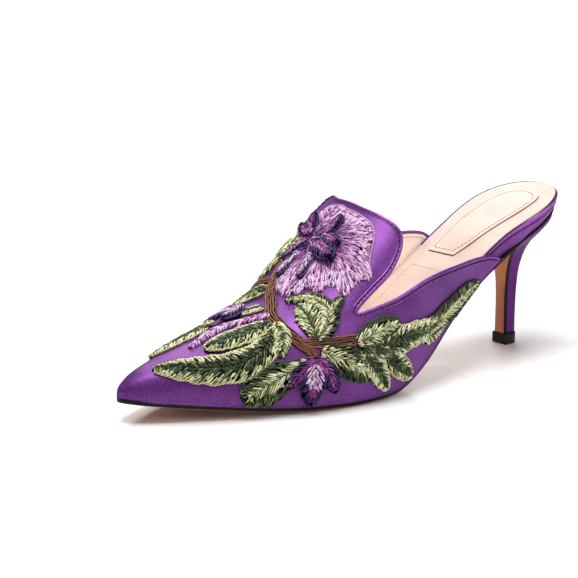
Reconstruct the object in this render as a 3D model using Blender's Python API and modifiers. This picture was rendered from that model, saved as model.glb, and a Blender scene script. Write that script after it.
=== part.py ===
"""Heeled mule, left shoe, modelled as separately named solids.

Frame: metres, +Z up, the toe points to -Y, the wearer's left (the outer side) is +X.
The origin is the middle of the footprint box on the ground.
Along the shoe, s is the distance from the toe tip in millimetres.
Round the foot, t is 0 at the outer edge of the sole, 0.5 on the ridge and 1 at the inner edge.
"""

import bmesh
import bpy
import numpy as np
from mathutils import Vector
from mathutils.geometry import delaunay_2d_cdt

MM = 0.001
LENGTH = 248.0        # toe tip to the back of the seat
WALL = 1.8            # satin, lining and the stiffener between them
GAP = 0.3             # clearance between pieces that touch
WING_END = 193.0      # where the sides of the upper stop
SEAT_MIDDLE = 220.0   # from here back the seat is a half ellipse
RAND_START = 183.0    # front ends of the wrapped edge round the seat
RAND_WALL = 2.6       # thickness of that wrapped edge
LIFT_HEIGHT = 5.5     # rubber top piece under the heel
LIFT_FRONT = 220.0
LIFT_DEPTH = 9.6
LIFT_HALF = 4.95
BREAST_WALL = 1.6     # leather that covers the front of the heel
BREAST_TOP = 54.6     # height at which it meets the sole
CROWN = 1.0           # how far the middle of the sole hangs below its edge

# The last: heights in millimetres above the ground, widths from the axis of the shoe.
#   sole     underside of the sole at its edge
#   edge     thickness of the sole at its edge
#   outer    half width of the foot's outer side at the sole, before the seat is rounded
#   inner    half width of the inner side, in the same way
#   axis     sideways shift of the section's middle
#   top      height of the ridge
#   ridge    sideways shift of the ridge
#   bulge    how far the sides swell above the sole
#   round    exponent of the sideways curve, smaller is boxier
#   inner_q  exponent of the rise on the inner side, smaller is boxier
#   bed      height of the footbed above the underside
LAST_COLUMNS = ("s", "sole", "edge", "outer", "inner", "axis", "top", "ridge", "bulge",
                "round", "inner_q", "bed")
LAST = (
    (0.0, 8.8, 2.2, 0.0, 0.0, -5.2, 14.4, 0.0, 0.0, 0.66, 0.95, 6.0),
    (5.0, 8.1, 2.2, 6.4, 6.6, -4.7, 17.9, 0.0, 0.0, 0.66, 0.95, 6.0),
    (20.0, 6.1, 2.4, 14.4, 14.8, -3.6, 23.4, -0.5, 0.5, 0.68, 0.95, 6.0),
    (40.0, 3.8, 2.4, 23.4, 23.5, -2.0, 29.2, -1.5, 1.0, 0.68, 0.95, 5.8),
    (60.0, 1.7, 2.4, 30.5, 30.4, -0.8, 34.2, -3.5, 1.5, 0.68, 0.92, 5.6),
    (80.0, 0.7, 2.4, 36.2, 35.0, -0.2, 41.5, -6.0, 2.0, 0.66, 0.84, 5.5),
    (100.0, 0.6, 2.3, 39.0, 36.5, 0.0, 56.0, -10.5, 2.5, 0.63, 0.70, 5.5),
    (120.0, 2.4, 2.0, 38.0, 34.5, 0.0, 73.5, -15.0, 3.0, 0.60, 0.56, 5.8),
    (130.0, 5.9, 1.7, 35.7, 31.7, 0.0, 82.2, -16.0, 3.5, 0.60, 0.52, 6.2),
    (140.0, 11.2, 1.5, 33.0, 29.2, 0.0, 90.0, -15.0, 4.0, 0.60, 0.56, 6.8),
    (160.0, 25.5, 1.2, 27.6, 25.0, 0.0, 103.0, -9.0, 4.5, 0.60, 0.75, 8.4),
    (180.0, 39.5, 1.0, 24.2, 22.4, 0.0, 115.0, -4.0, 4.5, 0.62, 0.90, 9.8),
    (200.0, 51.3, 1.0, 23.8, 22.6, 0.0, 125.0, 0.0, 4.5, 0.62, 0.95, 10.2),
    (220.0, 61.0, 1.0, 24.3, 23.8, 0.0, 130.0, 0.0, 4.5, 0.62, 0.95, 9.2),
    (234.0, 67.8, 1.0, 24.3, 23.8, 0.0, 136.0, 0.0, 4.5, 0.62, 0.95, 7.7),
    (243.0, 71.4, 1.0, 24.3, 23.8, 0.0, 139.0, 0.0, 4.5, 0.62, 0.95, 6.9),
    (248.0, 73.0, 1.0, 24.3, 23.8, 0.0, 140.0, 0.0, 4.5, 0.62, 0.95, 6.5),
)

# The topline of the upper: up the outer side, down into the notch, round the tongue,
# into the inner notch and back along the inner side.
TOPLINE_COLUMNS = ("s", "t")
TOPLINE = (
    (195.5, 0.000), (189.0, 0.023), (176.5, 0.056), (163.5, 0.090), (140.0, 0.152),
    (118.0, 0.193), (101.0, 0.236), (98.5, 0.247), (101.0, 0.256), (109.0, 0.259),
    (119.0, 0.257), (127.0, 0.272), (130.5, 0.298), (130.3, 0.335), (128.5, 0.385),
    (127.2, 0.450), (128.2, 0.500), (129.5, 0.545), (129.0, 0.585), (126.2, 0.620),
    (122.0, 0.652), (117.0, 0.688), (109.0, 0.730), (101.0, 0.762), (98.8, 0.772),
    (101.0, 0.783), (109.0, 0.807), (118.0, 0.838), (128.0, 0.866), (140.0, 0.886),
    (160.0, 0.902), (176.5, 0.927), (186.5, 0.953), (191.5, 0.976), (195.5, 1.000),
)

# The heel, from the top piece up to the seat.
#   height   of the ring's front edge above the ground
#   front    s of the front face
#   depth    front to back
#   half     half width at the front
#   rise     how much higher the back of the ring is
HEEL_COLUMNS = ("height", "front", "depth", "half", "rise")
HEEL = (
    (5.8, 221.7, 7.9, 3.4, 0.0),
    (16.0, 221.6, 8.1, 3.3, 0.0),
    (27.0, 221.5, 8.5, 3.4, 0.2),
    (35.0, 221.3, 9.4, 4.0, 0.5),
    (40.0, 221.0, 10.6, 5.0, 0.9),
    (44.0, 220.4, 12.6, 6.5, 1.7),
    (47.5, 219.4, 15.6, 8.8, 3.4),
    (50.5, 217.8, 21.2, 12.0, 6.0),
    (53.0, 215.6, 28.2, 16.2, 9.6),
    (54.8, 213.0, 33.4, 19.6, 12.4),
    (56.0, 210.5, 35.8, 22.6, 14.2),
)

# How far pieces lie inside the outline of the sole.
#   sole     edge of the sole, drawn in where it lies under the seat
#   rand     outside of the wrapped seat edge
#   board    sides of the footbed's board
#   sheet    edge of the leather sheet on top of it
INSET_COLUMNS = ("s", "sole", "rand", "board", "sheet")
INSET = (
    (0.0, 0.0, 2.4, 2.4, 2.4),
    (172.0, 0.0, 2.4, 2.4, 2.4),
    (182.0, 0.0, 2.4, 5.4, 2.4),
    (196.0, 0.0, 2.4, 5.4, 2.4),
    (218.0, 1.3, 0.3, 3.3, 1.0),
    (248.0, 1.3, 0.3, 3.3, 1.0),
)
SHEET = 1.1           # thickness of that leather sheet


def smooth(xs, ys, x):
    """Curve through the rows of a table, with a continuous slope."""
    xs = np.asarray(xs, dtype=float)
    ys = np.asarray(ys, dtype=float)
    x = np.clip(np.asarray(x, dtype=float), xs[0], xs[-1])
    step = np.diff(xs)
    rise = np.diff(ys) / step
    slope = np.empty(len(xs))
    slope[0] = rise[0]
    slope[-1] = rise[-1]
    slope[1:-1] = (rise[:-1] * step[1:] + rise[1:] * step[:-1]) / (step[:-1] + step[1:])
    i = np.clip(np.searchsorted(xs, x, side="right") - 1, 0, len(step) - 1)
    h = step[i]
    u = (x - xs[i]) / h
    start = (1 + 2 * u) * (1 - u) ** 2 * ys[i] + u * (1 - u) ** 2 * h * slope[i]
    end = u * u * (3 - 2 * u) * ys[i + 1] + u * u * (u - 1) * h * slope[i + 1]
    return start + end


def read(table, columns, name, x):
    """Value of one named column at x, where the first column holds x."""
    rows = np.array(table)
    return smooth(rows[:, 0], rows[:, columns.index(name)], x)


def last(name, s):
    return read(LAST, LAST_COLUMNS, name, s)


def half_width(s, side):
    """Half width at the sole: a conic round the toe, an ellipse round the seat."""
    rows = np.array(LAST)
    column = LAST_COLUMNS.index("outer" if side > 0 else "inner")
    s = np.asarray(s, dtype=float)
    width = smooth(rows[:, 0], rows[:, column], s)
    near = rows[1, column] ** 2 / rows[1, 0]
    far = rows[2, column] ** 2 / rows[2, 0]
    curve = (far - near) / (rows[2, 0] - rows[1, 0])
    start = near - curve * rows[1, 0]
    toe = np.sqrt(np.clip(start * s + curve * s ** 2, 0, None))
    width = np.where(s < rows[2, 0], toe, width)
    along = np.clip((s - SEAT_MIDDLE) / (LENGTH - SEAT_MIDDLE), 0, 1)
    return width * np.sqrt(1 - along ** 2)


def feather(s):
    """Height of the line where the upper meets the sole."""
    return last("sole", s) + last("edge", s)


def bed_height(s):
    return last("sole", s) + last("bed", s)


def foot(s, t):
    """Point on the outside of the upper, in millimetres, with y measured from the middle."""
    s = np.asarray(s, dtype=float)
    t = np.asarray(t, dtype=float)
    angle = np.pi * t
    across = np.cos(angle)
    up = np.abs(np.sin(angle))
    ridge = last("ridge", s)
    reach = np.where(across >= 0, half_width(s, 1) - ridge, half_width(s, -1) + ridge)
    swell = last("bulge", s) * np.abs(np.sin(2 * angle))
    x = last("axis", s) + ridge
    x = x + np.sign(across) * (reach * np.abs(across) ** last("round", s) + swell)
    power = np.where(across >= 0, 0.95, last("inner_q", s))
    z = feather(s) + (last("top", s) - feather(s)) * up ** power
    return np.stack([x, s - LENGTH / 2, z], axis=-1)


def outline_edge(s, side, inset):
    """Plan position of the sole's outline, moved inwards at right angles by the inset."""
    ds = 0.05
    s = np.asarray(s, dtype=float)
    before = np.clip(s - ds, 0, LENGTH)
    after = np.clip(s + ds, 0, LENGTH)
    x = last("axis", s) + side * half_width(s, side)
    dx = last("axis", after) + side * half_width(after, side)
    dx = dx - last("axis", before) - side * half_width(before, side)
    slope = dx / (after - before)
    size = np.sqrt(1 + slope ** 2)
    return x - side * inset / size, s + side * inset * slope / size


def shared_rows(first, final, count, toe_power=1.0, back_power=1.0):
    """Stations between two ends, closer together where a power is over 1."""
    u = np.linspace(0, 1, count)
    u = u ** toe_power
    u = 1 - (1 - u) ** back_power
    return first + (final - first) * u


def new_object(name, mesh, material):
    obj = bpy.data.objects.new(name, mesh)
    mesh.materials.append(material)
    PARTS.objects.link(obj)
    return obj


def make_material(name, colour, roughness):
    material = bpy.data.materials.new(name)
    material.use_nodes = True
    shader = material.node_tree.nodes["Principled BSDF"]
    shader.inputs["Base Color"].default_value = (*colour, 1.0)
    shader.inputs["Roughness"].default_value = roughness
    return material


def loft(name, rings, material, closed=False):
    """Solid through a list of rings with the same number of points, in millimetres."""
    bm = bmesh.new()
    loops = []
    for ring in rings:
        loops.append([bm.verts.new(Vector(point) * MM) for point in ring])
    count = len(loops[0])
    pairs = list(zip(loops[:-1], loops[1:]))
    if closed:
        pairs.append((loops[-1], loops[0]))
    for low, high in pairs:
        for k in range(count):
            n = (k + 1) % count
            bm.faces.new((low[k], low[n], high[n], high[k]))
    if not closed:
        bm.faces.new(list(reversed(loops[0])))
        bm.faces.new(loops[-1])
    bmesh.ops.remove_doubles(bm, verts=bm.verts, dist=1e-6)
    bmesh.ops.triangulate(bm, faces=[f for f in bm.faces if len(f.verts) > 4])
    bmesh.ops.recalc_face_normals(bm, faces=bm.faces)
    mesh = bpy.data.meshes.new(name)
    bm.to_mesh(mesh)
    bm.free()
    mesh.shade_smooth()
    mesh.set_sharp_from_angle(angle=np.radians(35))
    return new_object(name, mesh, material)


def topline_points(count):
    """Points along the topline, evenly spread by length in the s and t plane."""
    rows = np.array(TOPLINE)
    scaled = rows * np.array([1.0, 250.0])
    chord = np.linalg.norm(np.diff(scaled, axis=0), axis=1) ** 0.5
    knots = np.concatenate([[0.0], np.cumsum(chord)])
    fine = np.linspace(0, knots[-1], 4000)
    s = smooth(knots, rows[:, 0], fine)
    t = np.clip(smooth(knots, rows[:, 1], fine), 0, 1)
    length = np.hypot(np.diff(s), np.diff(t) * 250.0)
    length = np.concatenate([[0.0], np.cumsum(length)])
    even = np.linspace(0, length[-1], count)
    return np.interp(even, length, s), np.interp(even, length, t)


def upper_surface():
    """Open surface of the upper as a mesh: a grid in s and t, trimmed at the topline."""
    rows = np.array([0, 1.5, 4, 8, 13, 19, 26, 34, 42, 50, 58, 66, 74, 82, 90, 97, 104, 111,
                     118, 125, 132, 140, 149, 158, 167, 176, 185, WING_END], dtype=float)
    columns = 30
    fractions = np.linspace(0, 1, columns + 1)

    def plane(s, t):
        """Flat coordinates in which the grid is square."""
        return np.interp(s, rows, np.arange(len(rows))), np.asarray(t) * columns

    top_s, top_t = topline_points(110)
    keep = top_s <= WING_END - 1.0
    top_s = top_s[keep]
    top_t = top_t[keep]
    outer_end = np.interp(WING_END, [189.0, 195.5], [0.023, 0.0])
    inner_end = np.interp(WING_END, [191.5, 195.5], [0.976, 1.0])
    border = [(s, 0.0) for s in rows]
    border.append((WING_END, outer_end))
    border.extend(zip(top_s, top_t))
    border.append((WING_END, inner_end))
    border.extend((s, 1.0) for s in rows[::-1])
    border.extend((0.0, t) for t in fractions[-2:0:-1])
    points = list(border)
    flat_top = np.stack(plane(top_s, top_t), axis=1)
    for s in rows[1:-1]:
        for t in fractions[1:-1]:
            spot = np.array(plane(s, t))
            if np.min(np.linalg.norm(flat_top - spot, axis=1)) > 0.55:
                points.append((s, t))
    coords = [Vector([float(c) for c in plane(s, t)]) for s, t in points]
    loop = list(range(len(border)))
    result = delaunay_2d_cdt(coords, [], [loop], 1, 1e-6)
    origin = result[3]
    faces = result[2]
    where = []
    for sources in origin:
        where.append(points[sources[0]])
    place = foot([p[0] for p in where], [p[1] for p in where])
    bm = bmesh.new()
    verts = [bm.verts.new(Vector(point) * MM) for point in place]
    for face in faces:
        bm.faces.new([verts[k] for k in face])
    bmesh.ops.remove_doubles(bm, verts=bm.verts, dist=1e-5)
    bm.normal_update()
    outward = 0.0
    centre = Vector((0.0, -0.03, 0.012))
    for face in bm.faces:
        outward += face.calc_area() * face.normal.dot(face.calc_center_median() - centre)
    if outward < 0:
        bmesh.ops.reverse_faces(bm, faces=bm.faces)
    mesh = bpy.data.meshes.new("upper")
    bm.to_mesh(mesh)
    bm.free()
    mesh.shade_smooth()
    return mesh


def make_upper(material):
    obj = new_object("upper", upper_surface(), material)
    wall = obj.modifiers.new("wall", "SOLIDIFY")
    wall.thickness = WALL * MM
    wall.offset = -1.0
    wall.use_even_offset = False
    wall.use_rim = True
    return obj


def inset_at(s, column):
    """Inset at station s, level at each row of the table and eased between them."""
    rows = np.array(INSET)
    s = np.asarray(s, dtype=float)
    i = np.clip(np.searchsorted(rows[:, 0], s, side="right") - 1, 0, len(rows) - 2)
    u = (s - rows[i, 0]) / (rows[i + 1, 0] - rows[i, 0])
    values = rows[:, INSET_COLUMNS.index(column)]
    return values[i] + (values[i + 1] - values[i]) * u * u * (3 - 2 * u)


def inner_edges(s, column):
    """Left and right plan edges at station s of a piece that lies inside the outline."""
    fine = shared_rows(0.0, LENGTH, 600, 1.5, 1.5)
    inset = inset_at(fine, column)
    edges = []
    for side in (-1, 1):
        x, moved = outline_edge(fine, side, inset)
        order = np.argsort(moved)
        edges.append(float(np.interp(s, moved[order], x[order])))
    return edges


def make_outsole(material):
    """Leather sole with a bevelled edge, crowned underneath, flat where it meets the ground."""
    rings = []
    for s in shared_rows(0.3, LENGTH - 1.36, 62, toe_power=1.5, back_power=1.8):
        left, right = inner_edges(s, "sole")
        low = float(last("sole", s))
        high = float(feather(s)) - GAP
        bevel = min(0.5, 0.3 * (high - low))
        half = 0.5 * (right - left)
        middle = 0.5 * (right + left)
        ring = []
        hang = CROWN * np.clip(s / 30.0, 0, 1) * np.clip((200.0 - s) / 60.0, 0, 1)
        for u in np.linspace(-1, 1, 9):
            reach = half - bevel
            drop = hang * (1 - u ** 4)
            ring.append((middle + u * reach, s - LENGTH / 2, max(0.0, low - drop)))
        ring.append((right, s - LENGTH / 2, low + bevel))
        ring.append((right, s - LENGTH / 2, high))
        ring.append((middle, s - LENGTH / 2, high))
        ring.append((left, s - LENGTH / 2, high))
        ring.append((left, s - LENGTH / 2, low + bevel))
        rings.append(ring)
    return loft("outsole", rings, material)


def make_footbed(material):
    """Footbed: a board that fills the shoe, and the leather sheet over it and the seat edge."""
    rings = []
    board_end = LENGTH - 4.0
    rows = shared_rows(5.0, LENGTH - 1.05, 58, 1.5, 2.0)
    rows = rows[np.abs(rows - board_end) > 0.4]
    rows = np.sort(np.append(rows, (board_end, board_end + 0.25)))
    for s in rows:
        left, right = inner_edges(min(s, board_end), "board")
        wide_left, wide_right = inner_edges(s, "sheet")
        y = s - LENGTH / 2
        low = float(feather(s)) + 0.1
        high = float(bed_height(s))
        under = high - SHEET
        if s > board_end:
            low = under - 0.05
        middle = 0.5 * (left + right)
        left = max(left, wide_left + 0.2)
        right = min(right, wide_right - 0.2)
        ring = [(left, y, low), (middle, y, low), (right, y, low), (right, y, under)]
        ring.append((max(wide_right - 0.1, right + 0.05), y, under))
        ring.append((wide_right, y, high - 0.4))
        ring.append((wide_right - 0.5, y, high))
        ring.append((middle, y, high - 0.2))
        ring.append((wide_left + 0.5, y, high))
        ring.append((wide_left, y, high - 0.4))
        ring.append((min(wide_left + 0.1, left - 0.05), y, under))
        ring.append((left, y, under))
        rings.append(ring)
    return loft("insole", rings, material)


def make_rand(material):
    """Satin-wrapped edge round the seat, with a rolled bead along its top."""
    side_s = shared_rows(RAND_START, LENGTH, 34, 1.0, 2.2)
    path = [(s, 1) for s in side_s] + [(s, -1) for s in side_s[-2::-1]]
    rings = []
    for s, side in path:
        inset = inset_at(s, "rand")
        x, moved = outline_edge(s, side, inset)
        x_in, moved_in = outline_edge(s, side, inset + 1.0)
        inward = np.array([x_in - x, moved_in - moved])
        inward = inward / np.linalg.norm(inward)
        if s >= LENGTH - 1e-6:
            x = 0.0
            moved = LENGTH - inset
            inward = np.array([0.0, -1.0])
        wall = float(bed_height(s)) - SHEET - GAP - float(feather(s))
        lean = max(0.0, inset_at(s, "sole") + 0.3 - inset)
        profile = ((lean, 0.0), (0.45 * lean, 0.4 * (wall - 2.4)), (0.1, wall - 2.4),
                   (0.4, wall - 2.0), (-0.25, wall - 1.5), (-0.25, wall - 0.6), (0.3, wall),
                   (RAND_WALL, wall), (RAND_WALL, 0.0))
        ring = []
        for depth, height in profile:
            there = moved + inward[1] * depth
            share = height / wall
            base = float(feather(there))
            roof = float(bed_height(there)) - SHEET - GAP
            ring.append((x + inward[0] * depth, there - LENGTH / 2,
                         base + share * (roof - base)))
        rings.append(ring)
    return loft("seat_rand", rings, material)


def seat_shape(count):
    """Plan of the heel seat as fractions of its half width and depth."""
    front = HEEL[-1][1]
    s = shared_rows(front, LENGTH, count, 1.0, 2.4)
    right = half_width(s, 1) / half_width(front, 1)
    left = half_width(s, -1) / half_width(front, -1)
    back = (s - front) / (LENGTH - front)
    points = [(x, y) for x, y in zip(right, back)]
    points.extend((-x, y) for x, y in zip(left[-2::-1], back[-2::-1]))
    return points


def heel_row(height):
    return [float(read(HEEL, HEEL_COLUMNS, name, height)) for name in HEEL_COLUMNS[1:]]


def make_heel(material):
    """Slim covered heel: rings that grow and tilt from the top piece up to the seat."""
    shape = seat_shape(15)
    lowest = HEEL[0][0]
    highest = HEEL[-1][0]
    rings = []
    for height in np.concatenate([np.linspace(lowest, 28.0, 7), np.linspace(31.0, highest, 17)]):
        front, depth, half, rise = heel_row(height)
        ring = []
        for x, y in shape:
            s = front + depth * y
            z = height + rise * y
            if height > highest - 0.01:
                z = float(last("sole", s)) - GAP
            ring.append((half * x, s - LENGTH / 2, z))
        rings.append(ring)
    return loft("heel", rings, material)


def make_breast(material):
    """Leather over the front face of the heel, from the top piece up to the sole."""
    rings = []
    for height in np.concatenate([np.linspace(HEEL[0][0], 28.0, 6), np.linspace(31.0, BREAST_TOP, 14)]):
        front, depth, half, rise = heel_row(height)
        back = front - GAP
        ring = []
        for x, s in ((-half, back), (-half, back - BREAST_WALL + 0.3),
                     (-half + 0.3, back - BREAST_WALL), (half - 0.3, back - BREAST_WALL),
                     (half, back - BREAST_WALL + 0.3), (half, back)):
            ring.append((x, s - LENGTH / 2, height))
        rings.append(ring)
    return loft("heel_breast", rings, material)


def make_lift(material):
    """Rubber top piece with a flat foot on the ground."""
    shape = seat_shape(13)
    rings = []
    for height, shrink in ((0.0, 0.25), (0.25, 0.0), (LIFT_HEIGHT - 0.3, 0.0), (LIFT_HEIGHT, 0.3)):
        ring = []
        for x, y in shape:
            depth = LIFT_DEPTH - 2 * shrink
            s = LIFT_FRONT + shrink + depth * y
            ring.append(((LIFT_HALF - shrink) * x, s - LENGTH / 2, height))
        rings.append(ring)
    return loft("top_lift", rings, material)


def main():
    satin = make_material("purple_satin", (0.16, 0.05, 0.26), 0.42)
    rand_satin = make_material("purple_satin_edge", (0.18, 0.06, 0.28), 0.4)
    heel_satin = make_material("purple_satin_heel", (0.15, 0.05, 0.24), 0.42)
    sole_leather = make_material("sole_leather", (0.12, 0.07, 0.05), 0.5)
    breast_leather = make_material("breast_leather", (0.42, 0.24, 0.13), 0.5)
    pale_leather = make_material("pale_leather", (0.82, 0.68, 0.58), 0.55)
    rubber = make_material("black_rubber", (0.02, 0.02, 0.02), 0.6)
    make_upper(satin)
    make_outsole(sole_leather)
    make_footbed(pale_leather)
    make_rand(rand_satin)
    make_heel(heel_satin)
    make_breast(breast_leather)
    make_lift(rubber)


for old in list(bpy.data.objects):
    bpy.data.objects.remove(old, do_unlink=True)
PARTS = bpy.data.collections.new("heeled_mule")
bpy.context.scene.collection.children.link(PARTS)
main()
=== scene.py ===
"""Looks of the heeled mule: satin, lining, leather, embroidery, light and camera.

Tables are in millimetres in the shoe's own frame: s runs from the toe tip to the heel,
t runs round the foot from the outer edge of the sole (0) over the ridge (0.5) to the inner edge (1).
World points are metres, with the toe at -Y and the outer side at +X.
"""

import bmesh
import bpy
import numpy as np
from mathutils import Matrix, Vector, kdtree
from mathutils.geometry import delaunay_2d_cdt


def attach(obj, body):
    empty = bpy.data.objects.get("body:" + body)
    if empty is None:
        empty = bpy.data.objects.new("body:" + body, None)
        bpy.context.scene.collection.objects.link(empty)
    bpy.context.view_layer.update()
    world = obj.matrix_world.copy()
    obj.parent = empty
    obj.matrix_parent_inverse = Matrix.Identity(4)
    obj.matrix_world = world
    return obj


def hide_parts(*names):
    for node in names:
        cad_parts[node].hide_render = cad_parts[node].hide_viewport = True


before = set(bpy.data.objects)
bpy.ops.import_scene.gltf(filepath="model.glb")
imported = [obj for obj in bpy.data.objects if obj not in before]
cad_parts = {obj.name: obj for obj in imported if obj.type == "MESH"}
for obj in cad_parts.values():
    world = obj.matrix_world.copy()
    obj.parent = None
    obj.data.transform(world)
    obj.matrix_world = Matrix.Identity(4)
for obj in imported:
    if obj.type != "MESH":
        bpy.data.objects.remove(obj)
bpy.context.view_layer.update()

MM = 0.001
LENGTH = 248.0          # from the toe tip to the back of the seat
MIDDLE = LENGTH / 2
WALL = 1.8              # thickness of the upper
SATIN = 0.85            # outer layer of the wall
GAP = 0.3               # between neighbouring pieces
WING_END = 195.2        # back end of the upper
SEAT_MIDDLE = 220.0     # where the outline starts to close round the seat
RAND_START = 183.0
RAND_WALL = 2.6
STEM_TOP = 28.0         # below this the heel is nearly straight
LIFT_HEIGHT = 5.5
LIFT_FRONT = 220.0
LIFT_DEPTH = 9.6
LIFT_HALF = 4.95
BREAST_WALL = 1.6
BREAST_TOP = 54.6
CROWN = 1.0             # how far the sole hangs in its middle
SHEET = 1.1             # thickness of the leather on the footbed
DISH = 0.8              # how far the footbed sinks in its middle
ROLL = 1.0              # radius of the rolled topline
ROLL_INSET = 0.55
SEAM_AT = 2.1           # distance of the seam ridge from the topline
SEAM_RADIUS = 0.38
THREAD = 0.29           # radius of an embroidery thread
STITCH_LENGTH = 2.9     # of the leaves
CORD_STEP = 0.34        # spacing of the points along a cord
UP = (0.0, 0.0, 1.0)

LAST_COLUMNS = ("s", "sole", "edge", "outer", "inner", "axis", "top", "ridge", "bulge",
                "round", "inner_q", "bed")
LAST = (
    (0, 8.8, 2.2, 0, 0, -5.2, 14.4, 0, 0, 0.66, 0.95, 6),
    (5, 8.1, 2.2, 6.4, 6.6, -4.7, 17.9, 0, 0, 0.66, 0.95, 6),
    (20, 6.1, 2.4, 14.4, 14.8, -3.6, 23.4, -0.5, 0.5, 0.68, 0.95, 6),
    (40, 3.8, 2.4, 23.4, 23.5, -2, 29.2, -1.5, 1, 0.68, 0.95, 5.8),
    (60, 1.7, 2.4, 30.5, 30.4, -0.8, 34.2, -3.5, 1.5, 0.68, 0.92, 5.6),
    (80, 0.7, 2.4, 36.2, 35, -0.2, 41.5, -6, 2, 0.66, 0.84, 5.5),
    (100, 0.6, 2.3, 39, 36.5, 0, 56, -10.5, 2.5, 0.63, 0.7, 5.5),
    (120, 2.4, 2, 38, 34.5, 0, 73.5, -15, 3, 0.6, 0.56, 5.8),
    (130, 5.9, 1.7, 35.7, 31.7, 0, 82.2, -16, 3.5, 0.6, 0.52, 6.2),
    (140, 11.2, 1.5, 33, 29.2, 0, 90, -15, 4, 0.6, 0.56, 6.8),
    (160, 25.5, 1.2, 27.6, 25, 0, 103, -9, 4.5, 0.6, 0.75, 8.4),
    (180, 39.5, 1, 24.2, 22.4, 0, 115, -4, 4.5, 0.62, 0.9, 9.8),
    (200, 51.3, 1, 23.8, 22.6, 0, 125, 0, 4.5, 0.62, 0.95, 10.2),
    (220, 61, 1, 24.3, 23.8, 0, 130, 0, 4.5, 0.62, 0.95, 9.2),
    (234, 67.8, 1, 24.3, 23.8, 0, 136, 0, 4.5, 0.62, 0.95, 7.7),
    (243, 71.4, 1, 24.3, 23.8, 0, 139, 0, 4.5, 0.62, 0.95, 6.9),
    (248, 73, 1, 24.3, 23.8, 0, 140, 0, 4.5, 0.62, 0.95, 6.5),
)

# Columns: s, t, from the outer side over the tongue to the inner side.
TOPLINE = (
    (195.5, 0), (189, 0.023), (176.5, 0.056), (163.5, 0.09), (140, 0.152), (118, 0.193),
    (101, 0.236), (98.5, 0.247), (101, 0.256), (109, 0.259), (119, 0.257), (127, 0.272),
    (130.5, 0.298), (130.3, 0.335), (128.5, 0.385), (127.2, 0.45), (128.2, 0.5), (129.5, 0.545),
    (129, 0.585), (126.2, 0.62), (122, 0.652), (117, 0.688), (109, 0.73), (101, 0.762),
    (98.8, 0.772), (101, 0.783), (109, 0.807), (118, 0.838), (128, 0.866), (140, 0.886),
    (160, 0.902), (176.5, 0.927), (186.5, 0.953), (191.5, 0.976), (195.5, 1),
)

HEEL_COLUMNS = ("height", "front", "depth", "half", "rise")
HEEL = (
    (5.8, 221.7, 7.9, 3.4, 0), (16, 221.6, 8.1, 3.3, 0), (27, 221.5, 8.5, 3.4, 0.2),
    (35, 221.3, 9.4, 4, 0.5), (40, 221, 10.6, 5, 0.9), (44, 220.4, 12.6, 6.5, 1.7),
    (47.5, 219.4, 15.6, 8.8, 3.4), (50.5, 217.8, 21.2, 12, 6), (53, 215.6, 28.2, 16.2, 9.6),
    (54.8, 213, 33.4, 19.6, 12.4), (56, 210.5, 35.8, 22.6, 14.2),
)

INSET_COLUMNS = ("s", "sole", "rand", "board", "sheet")
INSET = (
    (0, 0, 2.4, 2.4, 2.4), (172, 0, 2.4, 2.4, 2.4), (182, 0, 2.4, 5.4, 2.4),
    (196, 0, 2.4, 5.4, 2.4), (218, 1.3, 0.3, 3.3, 1), (248, 1.3, 0.3, 3.3, 1),
)

# Outline of the heel pad on the footbed: sideways places of its two edges.
PAD_COLUMNS = ("s", "left", "right")
PAD = (
    (181.4, -12, 5), (187, -12.6, 7.6), (194, -13.2, 9.4), (208, -13.8, 12.6),
    (222, -13.4, 14), (230, -10.6, 12.9), (234, -7, 9.4), (236, -1.5, 3),
)


# ---------------------------------------------------------------- lines and tables

def unit(vectors):
    return vectors / np.maximum(np.linalg.norm(vectors, axis=-1, keepdims=True), 1e-9)


def running(steps):
    """Running total, from 0."""
    return np.concatenate([[0.0], np.cumsum(steps)])


def walked(path):
    """Distance of each point of a path from its start."""
    return running(np.linalg.norm(np.diff(path, axis=0), axis=1))


def between(at, along, rows):
    """Rows of three numbers at places between those of along."""
    return np.stack([np.interp(at, along, rows[:, k]) for k in range(3)], axis=-1)


def smooth(xs, ys, x):
    """Curve through the rows of a table, with a continuous slope."""
    x = np.clip(x, xs[0], xs[-1])
    step = np.diff(xs)
    rise = np.diff(ys) / step
    inside = (rise[:-1] * step[1:] + rise[1:] * step[:-1]) / (step[:-1] + step[1:])
    slope = np.concatenate([rise[:1], inside, rise[-1:]])
    i = np.clip(np.searchsorted(xs, x, side="right") - 1, 0, len(step) - 1)
    h = step[i]
    u = (x - xs[i]) / h
    start = (1 + 2 * u) * (1 - u) ** 2 * ys[i] + u * (1 - u) ** 2 * h * slope[i]
    end = u * u * (3 - 2 * u) * ys[i + 1] + u * u * (u - 1) * h * slope[i + 1]
    return start + end


def read(table, columns, name, x):
    """Value of one named column at x, where the first column holds x."""
    rows = np.array(table, dtype=float)
    return smooth(rows[:, 0], rows[:, columns.index(name)], x)


def last(name, s):
    return read(LAST, LAST_COLUMNS, name, s)


def inset_at(s, column):
    rows = np.array(INSET, dtype=float)
    i = np.clip(np.searchsorted(rows[:, 0], s, side="right") - 1, 0, len(rows) - 2)
    u = (s - rows[i, 0]) / (rows[i + 1, 0] - rows[i, 0])
    values = rows[:, INSET_COLUMNS.index(column)]
    return values[i] + (values[i + 1] - values[i]) * u * u * (3 - 2 * u)


def shared_rows(first, final, count, toe_power=1.0, back_power=1.0):
    """Stations between two places, drawn toward the toe and toward the back."""
    u = np.linspace(0, 1, count) ** toe_power
    return first + (final - first) * (1 - (1 - u) ** back_power)


# ---------------------------------------------------------------- shape of the last

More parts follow.
